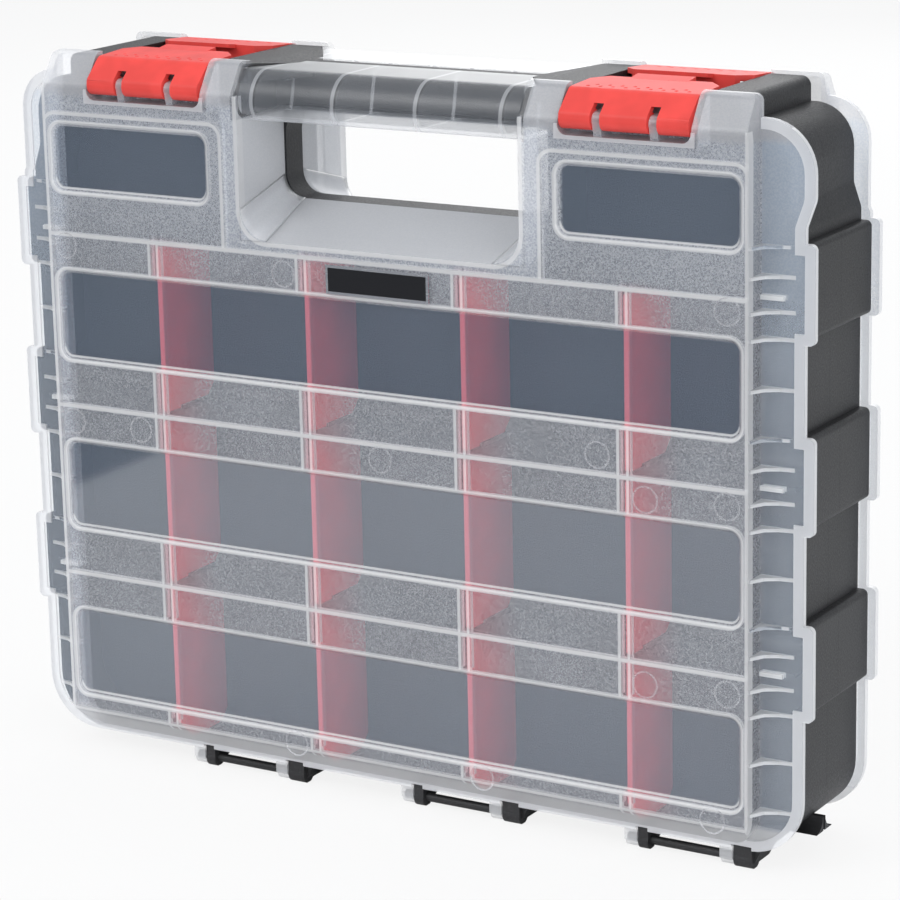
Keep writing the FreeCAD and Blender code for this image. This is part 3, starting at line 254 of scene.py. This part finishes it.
# Floor, sky and lamps. The windows mirror the bright part of the floor.
FLOOR_SIZE = 12.0
FLOOR_DROP = 0.0002
FLOOR_CLEARNESS = 0.86
FLOOR_SEEN = (0.86, 0.86, 0.86, 1.0)
FLOOR_TONES = ((0.22, 0.23, 0.25, 1.0), (0.88, 0.88, 0.88, 1.0))
CARD_SIDE = -0.452
CARD_FRONT = -0.59
CARD_FADE = 0.006
SKY_COLOUR = (0.93, 0.96, 1.0, 1.0)
SKY_LIGHT = 0.60
GROUND_LIGHT = 0.25
HORIZON = 0.10
WHITE = (1.0, 1.0, 1.0, 1.0)
LAMPS = (
    ("key_light", (-0.9, -1.9, 1.9), (1.6, 1.2), 26.0),
    ("fill_light", (1.9, -1.2, 0.9), (1.2, 1.4), 14.0),
    ("top_light", (0.1, 0.5, 2.2), (1.8, 1.2), 10.0),
    ("rear_light", (-0.6, 2.2, 1.0), (1.6, 1.2), 10.0),
)


# Shader nodes


class Graph:
    """Builds the nodes of a material or a world."""

    def __init__(self, owner):
        owner.use_nodes = True
        self.owner = owner
        self.tree = owner.node_tree
        self.tree.nodes.clear()

    def node(self, kind, sockets=None, **settings):
        made = self.tree.nodes.new(kind)
        for key, value in settings.items():
            setattr(made, key, value)
        for key, value in (sockets or {}).items():
            self.feed(made.inputs[key], value)
        return made

    def feed(self, socket, value):
        if isinstance(value, bpy.types.NodeSocket):
            self.tree.links.new(value, socket)
        else:
            socket.default_value = value

    def math(self, operation, first, second=None, clamp=False):
        made = self.node("ShaderNodeMath", {0: first}, operation=operation, use_clamp=clamp)
        if second is not None:
            self.feed(made.inputs[1], second)
        return made.outputs[0]

    def chain(self, operation, values):
        """One operation over several values, from the first to the last."""
        total = values[0]
        for value in values[1:]:
            total = self.math(operation, total, value)
        return total

    def away(self, value, middle):
        """How far a value is from the middle."""
        return self.math("ABSOLUTE", self.math("SUBTRACT", value, middle))

    def step(self, value, low, high, start=0.0, end=1.0):
        """Smooth change from start to end as value goes from low to high."""
        made = self.node(
            "ShaderNodeMapRange",
            {"Value": value, "From Min": low, "From Max": high, "To Min": start, "To Max": end},
            interpolation_type="SMOOTHSTEP",
        )
        return made.outputs["Result"]

    def blend(self, share, first, second):
        """Colour between two colours."""
        made = self.node("ShaderNodeMix", {0: share, 6: first, 7: second}, data_type="RGBA")
        return made.outputs[2]

    def level(self, share, first, second):
        """Number between two numbers."""
        made = self.node("ShaderNodeMix", {0: share, 2: first, 3: second}, data_type="FLOAT")
        return made.outputs[0]

    def place(self):
        """Object coordinates."""
        return self.node("ShaderNodeTexCoord").outputs["Object"]

    def split(self, vector):
        """The three parts of a vector."""
        return tuple(self.node("ShaderNodeSeparateXYZ", {0: vector}).outputs)

    def noise(self, place, scale, detail=3.0, roughness=0.6):
        return self.node(
            "ShaderNodeTexNoise",
            {"Vector": place, "Scale": scale, "Detail": detail, "Roughness": roughness},
        ).outputs["Fac"]

    def bump(self, height, depth, strength):
        return self.node(
            "ShaderNodeBump", {"Strength": strength, "Distance": depth, "Height": height}
        ).outputs["Normal"]

    def principled(self, sockets):
        return self.node("ShaderNodeBsdfPrincipled", sockets).outputs["BSDF"]

    def mix(self, share, first, second):
        """Shader between two shaders."""
        return self.node("ShaderNodeMixShader", {0: share, 1: first, 2: second}).outputs[0]

    def finish(self, shader, output="ShaderNodeOutputMaterial"):
        self.node(output, {"Surface": shader})
        return self.owner


def new_graph(name):
    return Graph(bpy.data.materials.new(name))


def rectangle_distance(graph, across, up, middle, half, corner):
    """Distance to a rounded rectangle's edge, negative inside."""
    side = graph.math("ADD", graph.away(across, middle[0]), corner - half[0])
    rise = graph.math("ADD", graph.away(up, middle[1]), corner - half[1])
    joined = graph.node("ShaderNodeCombineXYZ", {
        0: graph.math("MAXIMUM", side, 0.0), 1: graph.math("MAXIMUM", rise, 0.0),
    }).outputs[0]
    outside = graph.node("ShaderNodeVectorMath", {0: joined}, operation="LENGTH").outputs["Value"]
    inside = graph.math("MINIMUM", graph.math("MAXIMUM", side, rise), 0.0)
    return graph.math("SUBTRACT", graph.math("ADD", outside, inside), corner)


def window_distance(graph, spread, z):
    """Distance to the nearest window edge, negative inside a window."""
    places = [(0.0, WINDOW_SIDE, low, high) for low, high in ROW_WINDOWS]
    inner, low, high = SMALL_WINDOW
    places.append(((inner + WINDOW_SIDE) / 2, (WINDOW_SIDE - inner) / 2, low, high))
    return graph.chain("MINIMUM", [
        rectangle_distance(
            graph, spread, z, (middle, (low + high) / 2), (half, (high - low) / 2), WINDOW_CORNER,
        )
        for middle, half, low, high in places
    ])


# Masks: 1 where they hold and 0 elsewhere


def line(graph, value, middle, width):
    half, fade = width
    return graph.step(graph.away(value, middle), half, half + fade, 1.0, 0.0)


def any_line(graph, value, middles, width):
    return graph.chain("MAXIMUM", [line(graph, value, middle, width) for middle in middles])


def above(graph, value, edge, fade=EDGE_FADE):
    return graph.step(value, edge - fade, edge + fade)


def below(graph, value, edge, fade=EDGE_FADE):
    return graph.step(value, edge - fade, edge + fade, 1.0, 0.0)


def all_of(graph, *masks):
    return graph.chain("MULTIPLY", masks)


# Clear plastic of the lids


class LidSpot:
    """A point on a lid: where it is, how its face leans, and the noise on it."""

    def __init__(self, graph):
        place = graph.place()
        x, y, self.z = graph.split(place)
        normal = graph.node("ShaderNodeTexCoord").outputs["Normal"]
        lean = [graph.math("ABSOLUTE", part) for part in graph.split(normal)]
        self.sideways, self.facing, self.upright = lean
        self.depth = graph.math("ABSOLUTE", y)
        self.spread = graph.math("ABSOLUTE", x)
        self.across = graph.math("MULTIPLY", x, graph.math("SIGN", y))
        self.to_window = window_distance(graph, self.spread, self.z)
        self.on_front = above(graph, self.depth, FRONT_RIM)
        self.speckle = graph.step(graph.noise(place, SPECKLE_SCALE, 2.0, 0.7), *SPECKLE_RANGE)
        self.cloud = graph.noise(place, CLOUD_SCALE)
        self.pane = all_of(graph, below(graph, self.to_window, -WINDOW_SLOPE, PANE_FADE),
                           self.on_front)


def window_borders(graph, spot):
    """Edges of the windows, and the inner edge of the slanted border below each."""
    windows = ROW_WINDOWS + (SMALL_WINDOW[1:],)
    sills = [window[0] + WINDOW_SLOPE for window in windows]
    sill = all_of(graph, line(graph, spot.to_window, -WINDOW_SLOPE, SILL_LINE),
                  any_line(graph, spot.z, sills, SILL_BAND))
    border = graph.math("MAXIMUM", line(graph, spot.to_window, 0.0, BORDER_LINE), sill)
    return all_of(graph, border, above(graph, spot.depth, PANE_FRONT))


def thick_and_highlight_lines(graph, spot):
    """Places where the plastic is thicker and looks white, with a painted edge highlight where
    walls are seen edge-on: ribs, borders and corners.
    """
    in_dome = below(graph, spot.spread, DOME_SIDE)
    under_shoulder = below(graph, spot.z, SHOULDER_BASE)
    top_row = ROW_LINES[2]
    rows = all_of(graph, any_line(graph, spot.z, ROW_LINES, ROW_LINE), spot.on_front, in_dome)
    to_divider = graph.away(graph.away(spot.spread, DIVIDER_PITCH), DIVIDER_PITCH / 2)
    pairs = all_of(graph, line(graph, to_divider, RIB_OFFSET, RIB_LINE), spot.on_front,
                   above(graph, spot.to_window, WINDOW_CLEAR), above(graph, spot.z, RIB_FOOT),
                   below(graph, spot.z, top_row))
    inner, top = SMALL_FRAME
    small_frame = rectangle_distance(
        graph, spot.spread, spot.z, ((inner + DOME_SIDE) / 2, top_row),
        ((DOME_SIDE - inner) / 2, top - top_row), WINDOW_CORNER,
    )
    small_frame = all_of(graph, line(graph, small_frame, 0.0, BORDER_LINE), spot.on_front,
                         above(graph, spot.z, top_row))
    side = all_of(graph, line(graph, spot.spread, DOME_SIDE - SIDE_LINE[0], SIDE_LINE),
                  spot.on_front, under_shoulder)
    foot = all_of(graph, line(graph, spot.z, DOME_BASE, BORDER_LINE), spot.on_front, in_dome)
    scoop = rectangle_distance(
        graph, spot.spread, spot.z, (0.0, SCOOP_LOW + SCOOP_REACH),
        (SCOOP_SIDE - LID_WALL, SCOOP_REACH), SCOOP_CORNER,
    )
    scoop = all_of(graph, line(graph, scoop, LID_WALL / 2, SCOOP_LINE), spot.on_front,
                   under_shoulder)
    return graph.chain("MAXIMUM", [
        rows, pairs, window_borders(graph, spot), small_frame, side, foot, scoop,
    ])


def lid_zones(graph, spot):
    """Masks of the zones that look unlike the frosted bands. A later zone covers an earlier one."""
    beyond_dome = above(graph, spot.spread, SLOPE_SIDE)
    over_scoop = above(graph, spot.z, SCOOP_TOP)
    looks_up, looks_out, looks_aside = (
        above(graph, lean, SQUARE_ON, SQUARE_FADE)
        for lean in (spot.upright, spot.facing, spot.sideways)
    )
    return {
        "slope": all_of(graph, beyond_dome, below(graph, spot.z, SLOPE_TOP)),
        "fin_end": all_of(graph, looks_up, beyond_dome, above(graph, spot.depth, SLOPE_FRONT)),
        "fin": all_of(graph, any_line(graph, spot.z, FIN_LINES, FIN_LINE), beyond_dome,
                      below(graph, spot.spread, FIN_SIDE, FIN_FADE),
                      above(graph, spot.depth, FIN_FRONT)),
        "row_step": all_of(graph, any_line(graph, spot.z, ROW_LINES, ROW_STEP_LINE), beyond_dome,
                           below(graph, spot.spread, ROW_STEP_SIDE)),
        "skirt": below(graph, spot.z, SKIRT_TOP, SKIRT_FADE),
        "shoulder": all_of(graph, above(graph, spot.z, SHOULDER_LOW, SHOULDER_FADE),
                           above(graph, spot.spread, SCOOP_SIDE)),
        "latch_frame": all_of(graph, above(graph, spot.depth, LATCH_FRAME_FRONT, SHARP_FADE),
                              above(graph, spot.z, LATCH_FRAME_BASE)),
        "handle": all_of(graph, over_scoop, below(graph, spot.spread, HANDLE_SIDE)),
        "scoop": all_of(graph, above(graph, spot.z, SCOOP_ZONE_BASE),
                        below(graph, spot.z, SCOOP_TOP),
                        below(graph, spot.spread, SCOOP_ZONE_SIDE),
                        below(graph, spot.depth, SCOOP_FRONT)),
        "pane": spot.pane,
        "band": all_of(graph, line(graph, spot.depth, BAND_FACE, BAND_LINE), looks_out),
        "band_edge": all_of(graph, below(graph, spot.depth, BAND_EDGE_FRONT, SHARP_FADE),
                            below(graph, spot.facing, HALF_TURNED, HALF_FADE),
                            above(graph, spot.spread, BAND_INNER)),
        "handle_rib_face": all_of(graph, looks_aside, above(graph, spot.z, HANDLE_RIB_BASE),
                                  below(graph, spot.spread, HANDLE_RIB_SIDE)),
        "handle_rib_edge": all_of(graph, any_line(graph, spot.spread, HANDLE_RIBS, HANDLE_LINE),
                                  below(graph, spot.sideways, HALF_TURNED),
                                  over_scoop),
        # Thicker plastic with a painted edge highlight
        "thick": thick_and_highlight_lines(graph, spot),
    }


def frosted_look(graph, spot):
    """Colour and opacity of the frosted bands: a painted red glow beside each divider, standing in
    for light from the red dividers behind, and denser up high.
    """
    tone = graph.blend(spot.speckle, *FROST)
    top_row = ROW_LINES[2]
    # Painted red glow from the dividers, fading over the band to one side of each divider
    beside = graph.math("ADD", graph.math("MULTIPLY", spot.across, -1.0), PAINTED_GLOW_START)
    beside = graph.math("MODULO", beside, DIVIDER_PITCH)
    painted_glow = all_of(graph, graph.step(beside, *PAINTED_GLOW_RISE), graph.step(beside, *PAINTED_GLOW_FALL, 1.0, 0.0),
                  below(graph, spot.z, top_row, PAINTED_GLOW_FADE),
                  below(graph, spot.spread, PAINTED_GLOW_SIDE, PAINTED_GLOW_FADE), spot.on_front)
    tone = graph.blend(graph.math("MULTIPLY", painted_glow, DIVIDER_PAINTED_GLOW_SHARE), tone, DIVIDER_PAINTED_GLOW)

    alpha = graph.math("ADD", FROST_OPACITY, graph.math("MULTIPLY", spot.speckle, SPECKLE_OPACITY))
    alpha = graph.math("ADD", alpha, graph.math("MULTIPLY", spot.cloud, CLOUD_OPACITY))
    near_scoop = all_of(graph, above(graph, spot.z, NEAR_SCOOP_BASE, NEAR_SCOOP_FADES[0]),
                        below(graph, spot.spread, NEAR_SCOOP_SIDE, NEAR_SCOOP_FADES[1]))
    denser = graph.math("ADD", graph.step(spot.z, *HIGH_RANGE, 0.0, HIGH_OPACITY),
                        graph.math("MULTIPLY", near_scoop, NEAR_SCOOP_OPACITY))
    return tone, graph.math("ADD", alpha, denser)


def lid_material():
    """Clear polypropylene: smooth windows, finely frosted bands, white where it is thicker, with
    painted edge highlights and a painted red glow beside the dividers.
    """
    graph = new_graph("clear_lid")
    spot = LidSpot(graph)
    tone, alpha = frosted_look(graph, spot)
    changing = {
        "slope": graph.step(spot.z, *SLOPE_RANGE, *SLOPE_OPACITY),
        "pane": graph.math("ADD", PANE_OPACITY,
                           graph.math("MULTIPLY", spot.cloud, PANE_CLOUD_OPACITY)),
    }
    for name, mask in lid_zones(graph, spot).items():
        colours, opacity = ZONE_LOOKS[name]
        colour = graph.blend(spot.speckle, *colours) if len(colours) == 2 else colours[0]
        tone = graph.blend(mask, tone, colour)
        alpha = graph.level(mask, alpha, changing.get(name, opacity))

    relief = graph.math("MULTIPLY", spot.speckle, graph.math("SUBTRACT", 1.0, spot.pane))
    bumped = graph.bump(relief, FROST_RELIEF, 0.5)
    plastic = graph.principled({
        "Base Color": tone, "Roughness": 0.5, "Alpha": alpha, "Specular IOR Level": 0.2,
        "Normal": bumped,
    })
    gloss = graph.node("ShaderNodeBsdfAnisotropic", {
        "Color": WHITE, "Normal": bumped,
        "Roughness": graph.step(spot.pane, 0.0, 1.0, PLAIN_ROUGHNESS, PANE_ROUGHNESS),
    }).outputs[0]
    shine = graph.node("ShaderNodeFresnel", {"IOR": 1.6}).outputs[0]
    inward = graph.node("ShaderNodeNewGeometry").outputs["Backfacing"]
    shine = graph.math("MULTIPLY", shine, graph.math("SUBTRACT", 1.0, inward))
    strength = graph.step(spot.pane, 0.0, 1.0, PLAIN_GLOSS, PANE_GLOSS)
    shine = graph.math("MULTIPLY", shine, strength, clamp=True)
    return graph.finish(graph.mix(shine, plastic, gloss))


def mark_material():
    """Faint whitish ridge on the frosted plastic."""
    graph = new_graph("clear_mark")
    speckle = graph.step(graph.noise(graph.place(), MARK_SPECKLE_SCALE, 2.0), 0.3, 0.7)
    return graph.finish(graph.principled({
        "Base Color": graph.blend(speckle, *MARK_TONES), "Roughness": 0.4,
        "Alpha": graph.math("ADD", MARK_OPACITY,
                            graph.math("MULTIPLY", speckle, MARK_SPECKLE_OPACITY)),
    }))


# Black, red and badge materials


def body_material():
    """Charcoal polypropylene with a fine moulded grain, pale specks and the mould's seam."""
    graph = new_graph("black_body")
    place = graph.place()
    x, y = graph.split(place)[:2]
    grain = graph.noise(place, BODY_GRAIN_SCALE, 2.0, 0.7)
    cloud = graph.noise(place, BODY_CLOUD_SCALE, 2.0)
    tone = graph.blend(graph.step(cloud, 0.3, 0.7), *BODY_TONES)
    seam = all_of(graph, line(graph, y, 0.0, SEAM_LINE),
                  above(graph, graph.math("ABSOLUTE", x), BODY_SEAM_SIDE))
    tone = graph.blend(graph.math("MULTIPLY", seam, 0.6), tone, BODY_SEAM)
    specks = graph.step(graph.noise(place, BODY_SPECK_SCALE, 2.0, 0.8), 0.58, 0.74)
    tone = graph.blend(graph.math("MULTIPLY", specks, 0.5), tone, BODY_SPECKS)
    return graph.finish(graph.principled({
        "Base Color": tone, "Roughness": graph.step(grain, 0.2, 0.8, 0.36, 0.60),
        "Normal": graph.bump(grain, 0.0002, 0.8),
    }))


def divider_painted_light(graph, place, tone):
    """Painted shade: deeper red towards the floor wall; painted highlight: lighter along the front
    edge.
    """
    depth = graph.math("ABSOLUTE", graph.split(place)[1])
    tone = graph.blend(graph.step(depth, *PAINTED_SHADE_RANGE, PAINTED_SHADE_SHARE, 0.0), tone, DIVIDER_PAINTED_SHADE)
    return graph.blend(graph.step(depth, *PAINTED_HIGHLIGHT_RANGE), tone, DIVIDER_PAINTED_HIGHLIGHT)


def red_material(name, colour, roughness, shade=None):
    """Red plastic with a slight unevenness of tone; shade may paint light and shade into the tone.
    """
    graph = new_graph(name)
    place = graph.place()
    cloud = graph.noise(place, RED_CLOUD_SCALE, 2.0)
    deep = tuple(channel * DARKER for channel in colour) + (1.0,)
    tone = graph.blend(graph.step(cloud, 0.3, 0.7), deep, colour + (1.0,))
    if shade:
        tone = shade(graph, place, tone)
    grain = graph.noise(place, RED_GRAIN_SCALE, 2.0)
    return graph.finish(graph.principled({
        "Base Color": tone, "Roughness": roughness, "Specular IOR Level": 0.2,
        "Normal": graph.bump(grain, 0.00003, 0.3),
    }))


def badge_material(name, colour, roughness, metal):
    """Finely brushed surface."""
    graph = new_graph(name)
    scratches = graph.node(
        "ShaderNodeMapping", {0: graph.place(), "Scale": BRUSHING},
    ).outputs[0]
    brushed = graph.noise(scratches, 1.0, 2.0)
    return graph.finish(graph.principled({
        "Base Color": colour, "Metallic": metal,
        "Roughness": graph.step(brushed, 0.2, 0.8, roughness * 0.8, roughness * 1.3),
        "Normal": graph.bump(brushed, 0.00002, 0.3),
    }))


# Pieces of the scene


def body_name(node):
    """Name of the body that carries a CAD node."""
    for name, members in frame["record"]["behaviour"]["bodies"].items():
        if node in members:
            return name
    raise ValueError(node)


def new_piece(name, mesh, material, body):
    piece = bpy.data.objects.new(name, mesh)
    bpy.context.scene.collection.objects.link(piece)
    mesh.materials.clear()
    mesh.materials.append(material)
    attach(piece, body)
    return piece


def mesh_from(name, fill):
    """Mesh made by a function that fills a bmesh."""
    shape = bmesh.new()
    fill(shape)
    bmesh.ops.recalc_face_normals(shape, faces=shape.faces)
    mesh = bpy.data.meshes.new(name)
    shape.to_mesh(mesh)
    shape.free()
    return mesh


def skin(shape, first, second):
    """Faces between two closed rows of points."""
    count = len(first)
    for place in range(count):
        after = (place + 1) % count
        shape.faces.new((first[place], first[after], second[after], second[place]))


def loft(shape, rings):
    """Closed skin over rings of points that all have the same count."""
    rows = [[shape.verts.new(point) for point in ring] for ring in rings]
    for first, second in zip(rows, rows[1:]):
        skin(shape, first, second)
    shape.faces.new(rows[0])
    shape.faces.new(list(reversed(rows[-1])))


def corner_arc(middle, radius, start, turn, steps):
    """Points of an arc, from its start angle through turn, in degrees."""
    points = []
    for step in range(steps + 1):
        angle = math.radians(start + turn * step / steps)
        points.append((middle[0] + radius * math.cos(angle), middle[1] + radius * math.sin(angle)))
    return points


def divider_outline(near, far, low, high, foot):
    """Side view of a divider, as (depth, height): bevelled at the back, rounded in front."""
    bevel = DIVIDER_BEVEL
    tip = DIVIDER_TIP
    points = [(near + bevel, low), (near, low + bevel), (near, high - bevel), (near + bevel, high)]
    points += corner_arc((far - tip, high - tip), tip, 90.0, -90.0, 4)
    if foot > tip:
        points += [(far, low + foot), (far - foot, low)]
    else:
        points += corner_arc((far - tip, low + tip), tip, 0.0, -90.0, 4)
    return points


def dress_divider(node, material):
    """The divider with softened edges and square front corners."""
    low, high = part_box(node)
    turn = -1.0 if low.y + high.y < 0 else 1.0
    near = min(abs(low.y), abs(high.y))
    far = max(abs(low.y), abs(high.y))
    foot = BOTTOM_BEVEL if low.z < ROW_WINDOWS[0][0] else 0.0
    outline = divider_outline(near, far, low.z, high.z, foot)
    middle = ((near + far) / 2, (low.z + high.z) / 2)
    edge = DIVIDER_EDGE

    def fill(shape):
        rings = []
        for x, inset in ((low.x, edge), (low.x + edge, 0.0), (high.x - edge, 0.0), (high.x, edge)):
            shrink = (1 - inset / (far - near) * 2, 1 - inset / (high.z - low.z) * 2)
            rings.append([
                (x, turn * (middle[0] + (depth - middle[0]) * shrink[0]),
                 middle[1] + (z - middle[1]) * shrink[1])
                for depth, z in outline
            ])
        loft(shape, rings)

    mesh = mesh_from(node, fill)
    piece = new_piece(f"{node}_plate", mesh, material, body_name(node))
    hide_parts(node)


def dimple_places(node):
    """Two staggered rows of dimples on a latch's top, on its surface."""
    mesh = nodes[node].data
    tree = BVHTree.FromPolygons(
        [vertex.co for vertex in mesh.vertices], [face.vertices for face in mesh.polygons]
    )
    low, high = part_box(node)
    middle = (low.x + high.x) / 2
    side = 1.0 if low.y + high.y > 0 else -1.0
    places = []
    for depth, count in DIMPLE_ROWS:
        for step in range(count):
            x = middle + (step - (count - 1) / 2) * DIMPLE_PITCH
            probe = Vector((x, side * depth, high.z + PROBE_HEIGHT))
            place, normal = tree.ray_cast(probe, Vector((0.0, 0.0, -1.0)))[:2]
            if place is not None and normal.z > LEVEL_ENOUGH:
                places.append(place + normal * DIMPLE_LIFT)
    return places


def dress_latch(node, material):
    """The latch with its dimples cut into the top."""
    def fill(shape):
        for place in dimple_places(node):
            bmesh.ops.create_icosphere(
                shape, subdivisions=2, radius=DIMPLE_RADIUS, matrix=Matrix.Translation(place)
            )

    cutter = bpy.data.objects.new("dimple_cutter", mesh_from("dimple_cutter", fill))
    bpy.context.scene.collection.objects.link(cutter)
    mesh = nodes[node].data.copy()
    piece = new_piece(f"{node}_plate", mesh, material, body_name(node))
    carve = piece.modifiers.new("dimples", "BOOLEAN")
    carve.object = cutter
    carve.operation = "DIFFERENCE"
    carve.solver = "EXACT"
    bpy.context.view_layer.update()
    seen = bpy.context.evaluated_depsgraph_get()
    carved = bpy.data.meshes.new_from_object(piece.evaluated_get(seen))
    piece.modifiers.clear()
    piece.data = carved
    carved.materials.clear()
    carved.materials.append(material)
    bpy.data.objects.remove(cutter)
    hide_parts(node)


def half_turn(points, turned):
    return [(-x, -y, z) for x, y, z in points] if turned else points


def pin_marks(body, turned, material):
    """Thin raised rings that the mould's ejector pins leave on a lid."""
    profile = ((PIN_RADIUS - PIN_WIDTH, 0.0), (PIN_RADIUS - PIN_WIDTH / 2, PIN_HEIGHT),
               (PIN_RADIUS, 0.0))

    def fill(shape):
        for x, z in PIN_MARKS:
            rows = []
            for step in range(PIN_STEPS):
                angle = 2 * math.pi * step / PIN_STEPS
                points = [
                    (x + radius * math.cos(angle), -LID_FRONT - rise, z + radius * math.sin(angle))
                    for radius, rise in profile
                ]
                rows.append([shape.verts.new(point) for point in half_turn(points, turned)])
            for first, second in zip(rows, rows[1:] + rows[:1]):
                skin(shape, first, second)

    new_piece(f"{body}_pin_marks", mesh_from("pin_marks", fill), material, body)


def scoop_coves(body, turned, material):
    """Rounded lower corners of the hand scoop, from the front face back to the hand hole."""
    inside = SCOOP_SIDE - LID_WALL - COVE_GAP
    front = LID_FRONT - COVE_GAP
    back = HOLE_EDGE + COVE_GAP

    def fill(shape):
        for side in (-1.0, 1.0):
            rings = []
            for step in range(COVE_STATIONS):
                share = step / (COVE_STATIONS - 1)
                depth = front + (back - front) * share
                base = SCOOP_LOW + (HOLE_BASE - SCOOP_LOW) * share + COVE_LIFT
                radius = SCOOP_CORNER + (HOLE_CORNER - SCOOP_CORNER) * share
                arc = corner_arc((inside - radius, base + radius), radius, 0.0, -90.0, COVE_STEPS)
                ring = [(inside, base)] + arc
                rings.append(half_turn([(side * x, -depth, z) for x, z in ring], turned))
            loft(shape, rings)

    mesh = mesh_from("scoop_coves", fill)
    piece = new_piece(f"{body}_scoop_coves", mesh, material, body)
    for face in piece.data.polygons:
        face.use_smooth = len(face.vertices) == 4


def paint(node, material):
    if not nodes[node].material_slots:
        nodes[node].data.materials.append(material)
    for slot in nodes[node].material_slots:
        slot.material = material


def soften_edges(node):
    soften = nodes[node].modifiers.new("soft_edges", "BEVEL")
    soften.width = EDGE_ROUND
    soften.segments = 2
    soften.limit_method = "ANGLE"
    soften.angle_limit = math.radians(EDGE_ANGLE)


def dress():
    """Gives every CAD node its material, and replaces or adds the finer pieces."""
    clear = lid_material()
    black = body_material()
    latch_red = red_material("latch_red", LATCH_RED, 0.42)
    divider_red = red_material("divider_red", DIVIDER_RED, 0.45, divider_painted_light)
    plate_black = badge_material("badge_black", BADGE_BLACK, 0.16, 0.0)
    frame_silver = badge_material("badge_silver", BADGE_SILVER, 0.22, 1.0)
    mark = mark_material()
    for name in list(nodes):
        if name.endswith("_lid"):
            paint(name, clear)
        elif name.endswith("_latch"):
            paint(name, latch_red)
            dress_latch(name, latch_red)
        elif "_divider_" in name:
            paint(name, divider_red)
            dress_divider(name, divider_red)
    for body, turned in (("front_cover", False), ("rear_cover", True)):
        pin_marks(body, turned, mark)
        scoop_coves(body, turned, clear)
    paint("case_body", black)
    soften_edges("case_body")
    paint("badge_plate", plate_black)
    paint("badge_frame", frame_silver)


# Floor, world, lamps and camera


def floor():
    """Pale floor with a bright part; the camera sees a faint shadow and what hangs below it."""
    bpy.ops.mesh.primitive_plane_add(size=FLOOR_SIZE, location=(0.0, 0.0, -FLOOR_DROP))
    plane = bpy.context.object
    plane.name = "floor"
    graph = new_graph("pale_floor")
    path = graph.node("ShaderNodeLightPath").outputs
    seen = graph.chain("MAXIMUM", [
        path["Is Camera Ray"], path["Is Shadow Ray"], path["Is Transmission Ray"],
    ])
    x, y = graph.split(graph.place())[:2]
    card = all_of(graph, above(graph, x, CARD_SIDE, CARD_FADE),
                  above(graph, y, CARD_FRONT, CARD_FADE))
    colour = graph.blend(path["Is Camera Ray"], graph.blend(card, *FLOOR_TONES), FLOOR_SEEN)
    diffuse = graph.node("ShaderNodeBsdfDiffuse", {"Color": colour}).outputs[0]
    through = graph.node("ShaderNodeBsdfTransparent").outputs[0]
    share = graph.math("MULTIPLY", seen, FLOOR_CLEARNESS)
    plane.data.materials.append(graph.finish(graph.mix(share, diffuse, through)))


def world():
    """Soft even light, darker from below, plain white where the camera looks past the object."""
    graph = Graph(bpy.data.worlds.new("studio"))
    path = graph.node("ShaderNodeLightPath").outputs
    seen = graph.math("MAXIMUM", path["Is Camera Ray"], path["Is Transmission Ray"])
    direction = graph.node("ShaderNodeTexCoord").outputs["Generated"]
    height = graph.split(direction)[2]
    lit = graph.node("ShaderNodeBackground", {
        "Color": SKY_COLOUR,
        "Strength": graph.step(height, -HORIZON, HORIZON, GROUND_LIGHT, SKY_LIGHT),
    }).outputs[0]
    white = graph.node("ShaderNodeBackground", {"Color": WHITE, "Strength": 1.0}).outputs[0]
    sky = graph.finish(graph.mix(seen, lit, white), "ShaderNodeOutputWorld")
    bpy.context.scene.world = sky


def area_light(name, place, size, power):
    lamp = bpy.data.lights.new(name, "AREA")
    lamp.shape = "RECTANGLE"
    lamp.size, lamp.size_y = size
    lamp.energy = power
    holder = bpy.data.objects.new(name, lamp)
    bpy.context.scene.collection.objects.link(holder)
    holder.location = place
    aim = VIEW_TARGET - Vector(place)
    holder.rotation_mode = "QUATERNION"
    holder.rotation_quaternion = aim.to_track_quat("-Z", "Y")


def camera():
    azimuth = math.radians(VIEW_AZIMUTH)
    elevation = math.radians(VIEW_ELEVATION)
    back = Vector((
        math.sin(azimuth) * math.cos(elevation), -math.cos(azimuth) * math.cos(elevation),
        math.sin(elevation),
    ))
    right = Vector((0.0, 0.0, 1.0)).cross(back).normalized()
    right = Matrix.Rotation(math.radians(VIEW_ROLL), 3, back) @ right
    up = back.cross(right)
    lens = bpy.data.cameras.new("camera")
    lens.sensor_width = SENSOR_WIDTH
    lens.lens = LENS
    holder = bpy.data.objects.new("camera", lens)
    bpy.context.scene.collection.objects.link(holder)
    rotation = Matrix((right, up, back)).transposed().to_4x4()
    holder.matrix_world = Matrix.Translation(VIEW_TARGET + back * VIEW_DISTANCE) @ rotation
    bpy.context.scene.camera = holder


dress()
floor()
world()
for lamp_name, lamp_place, lamp_size, lamp_power in LAMPS:
    area_light(lamp_name, lamp_place, lamp_size, lamp_power)
camera()

bpy.context.scene.view_settings.view_transform = "Standard"
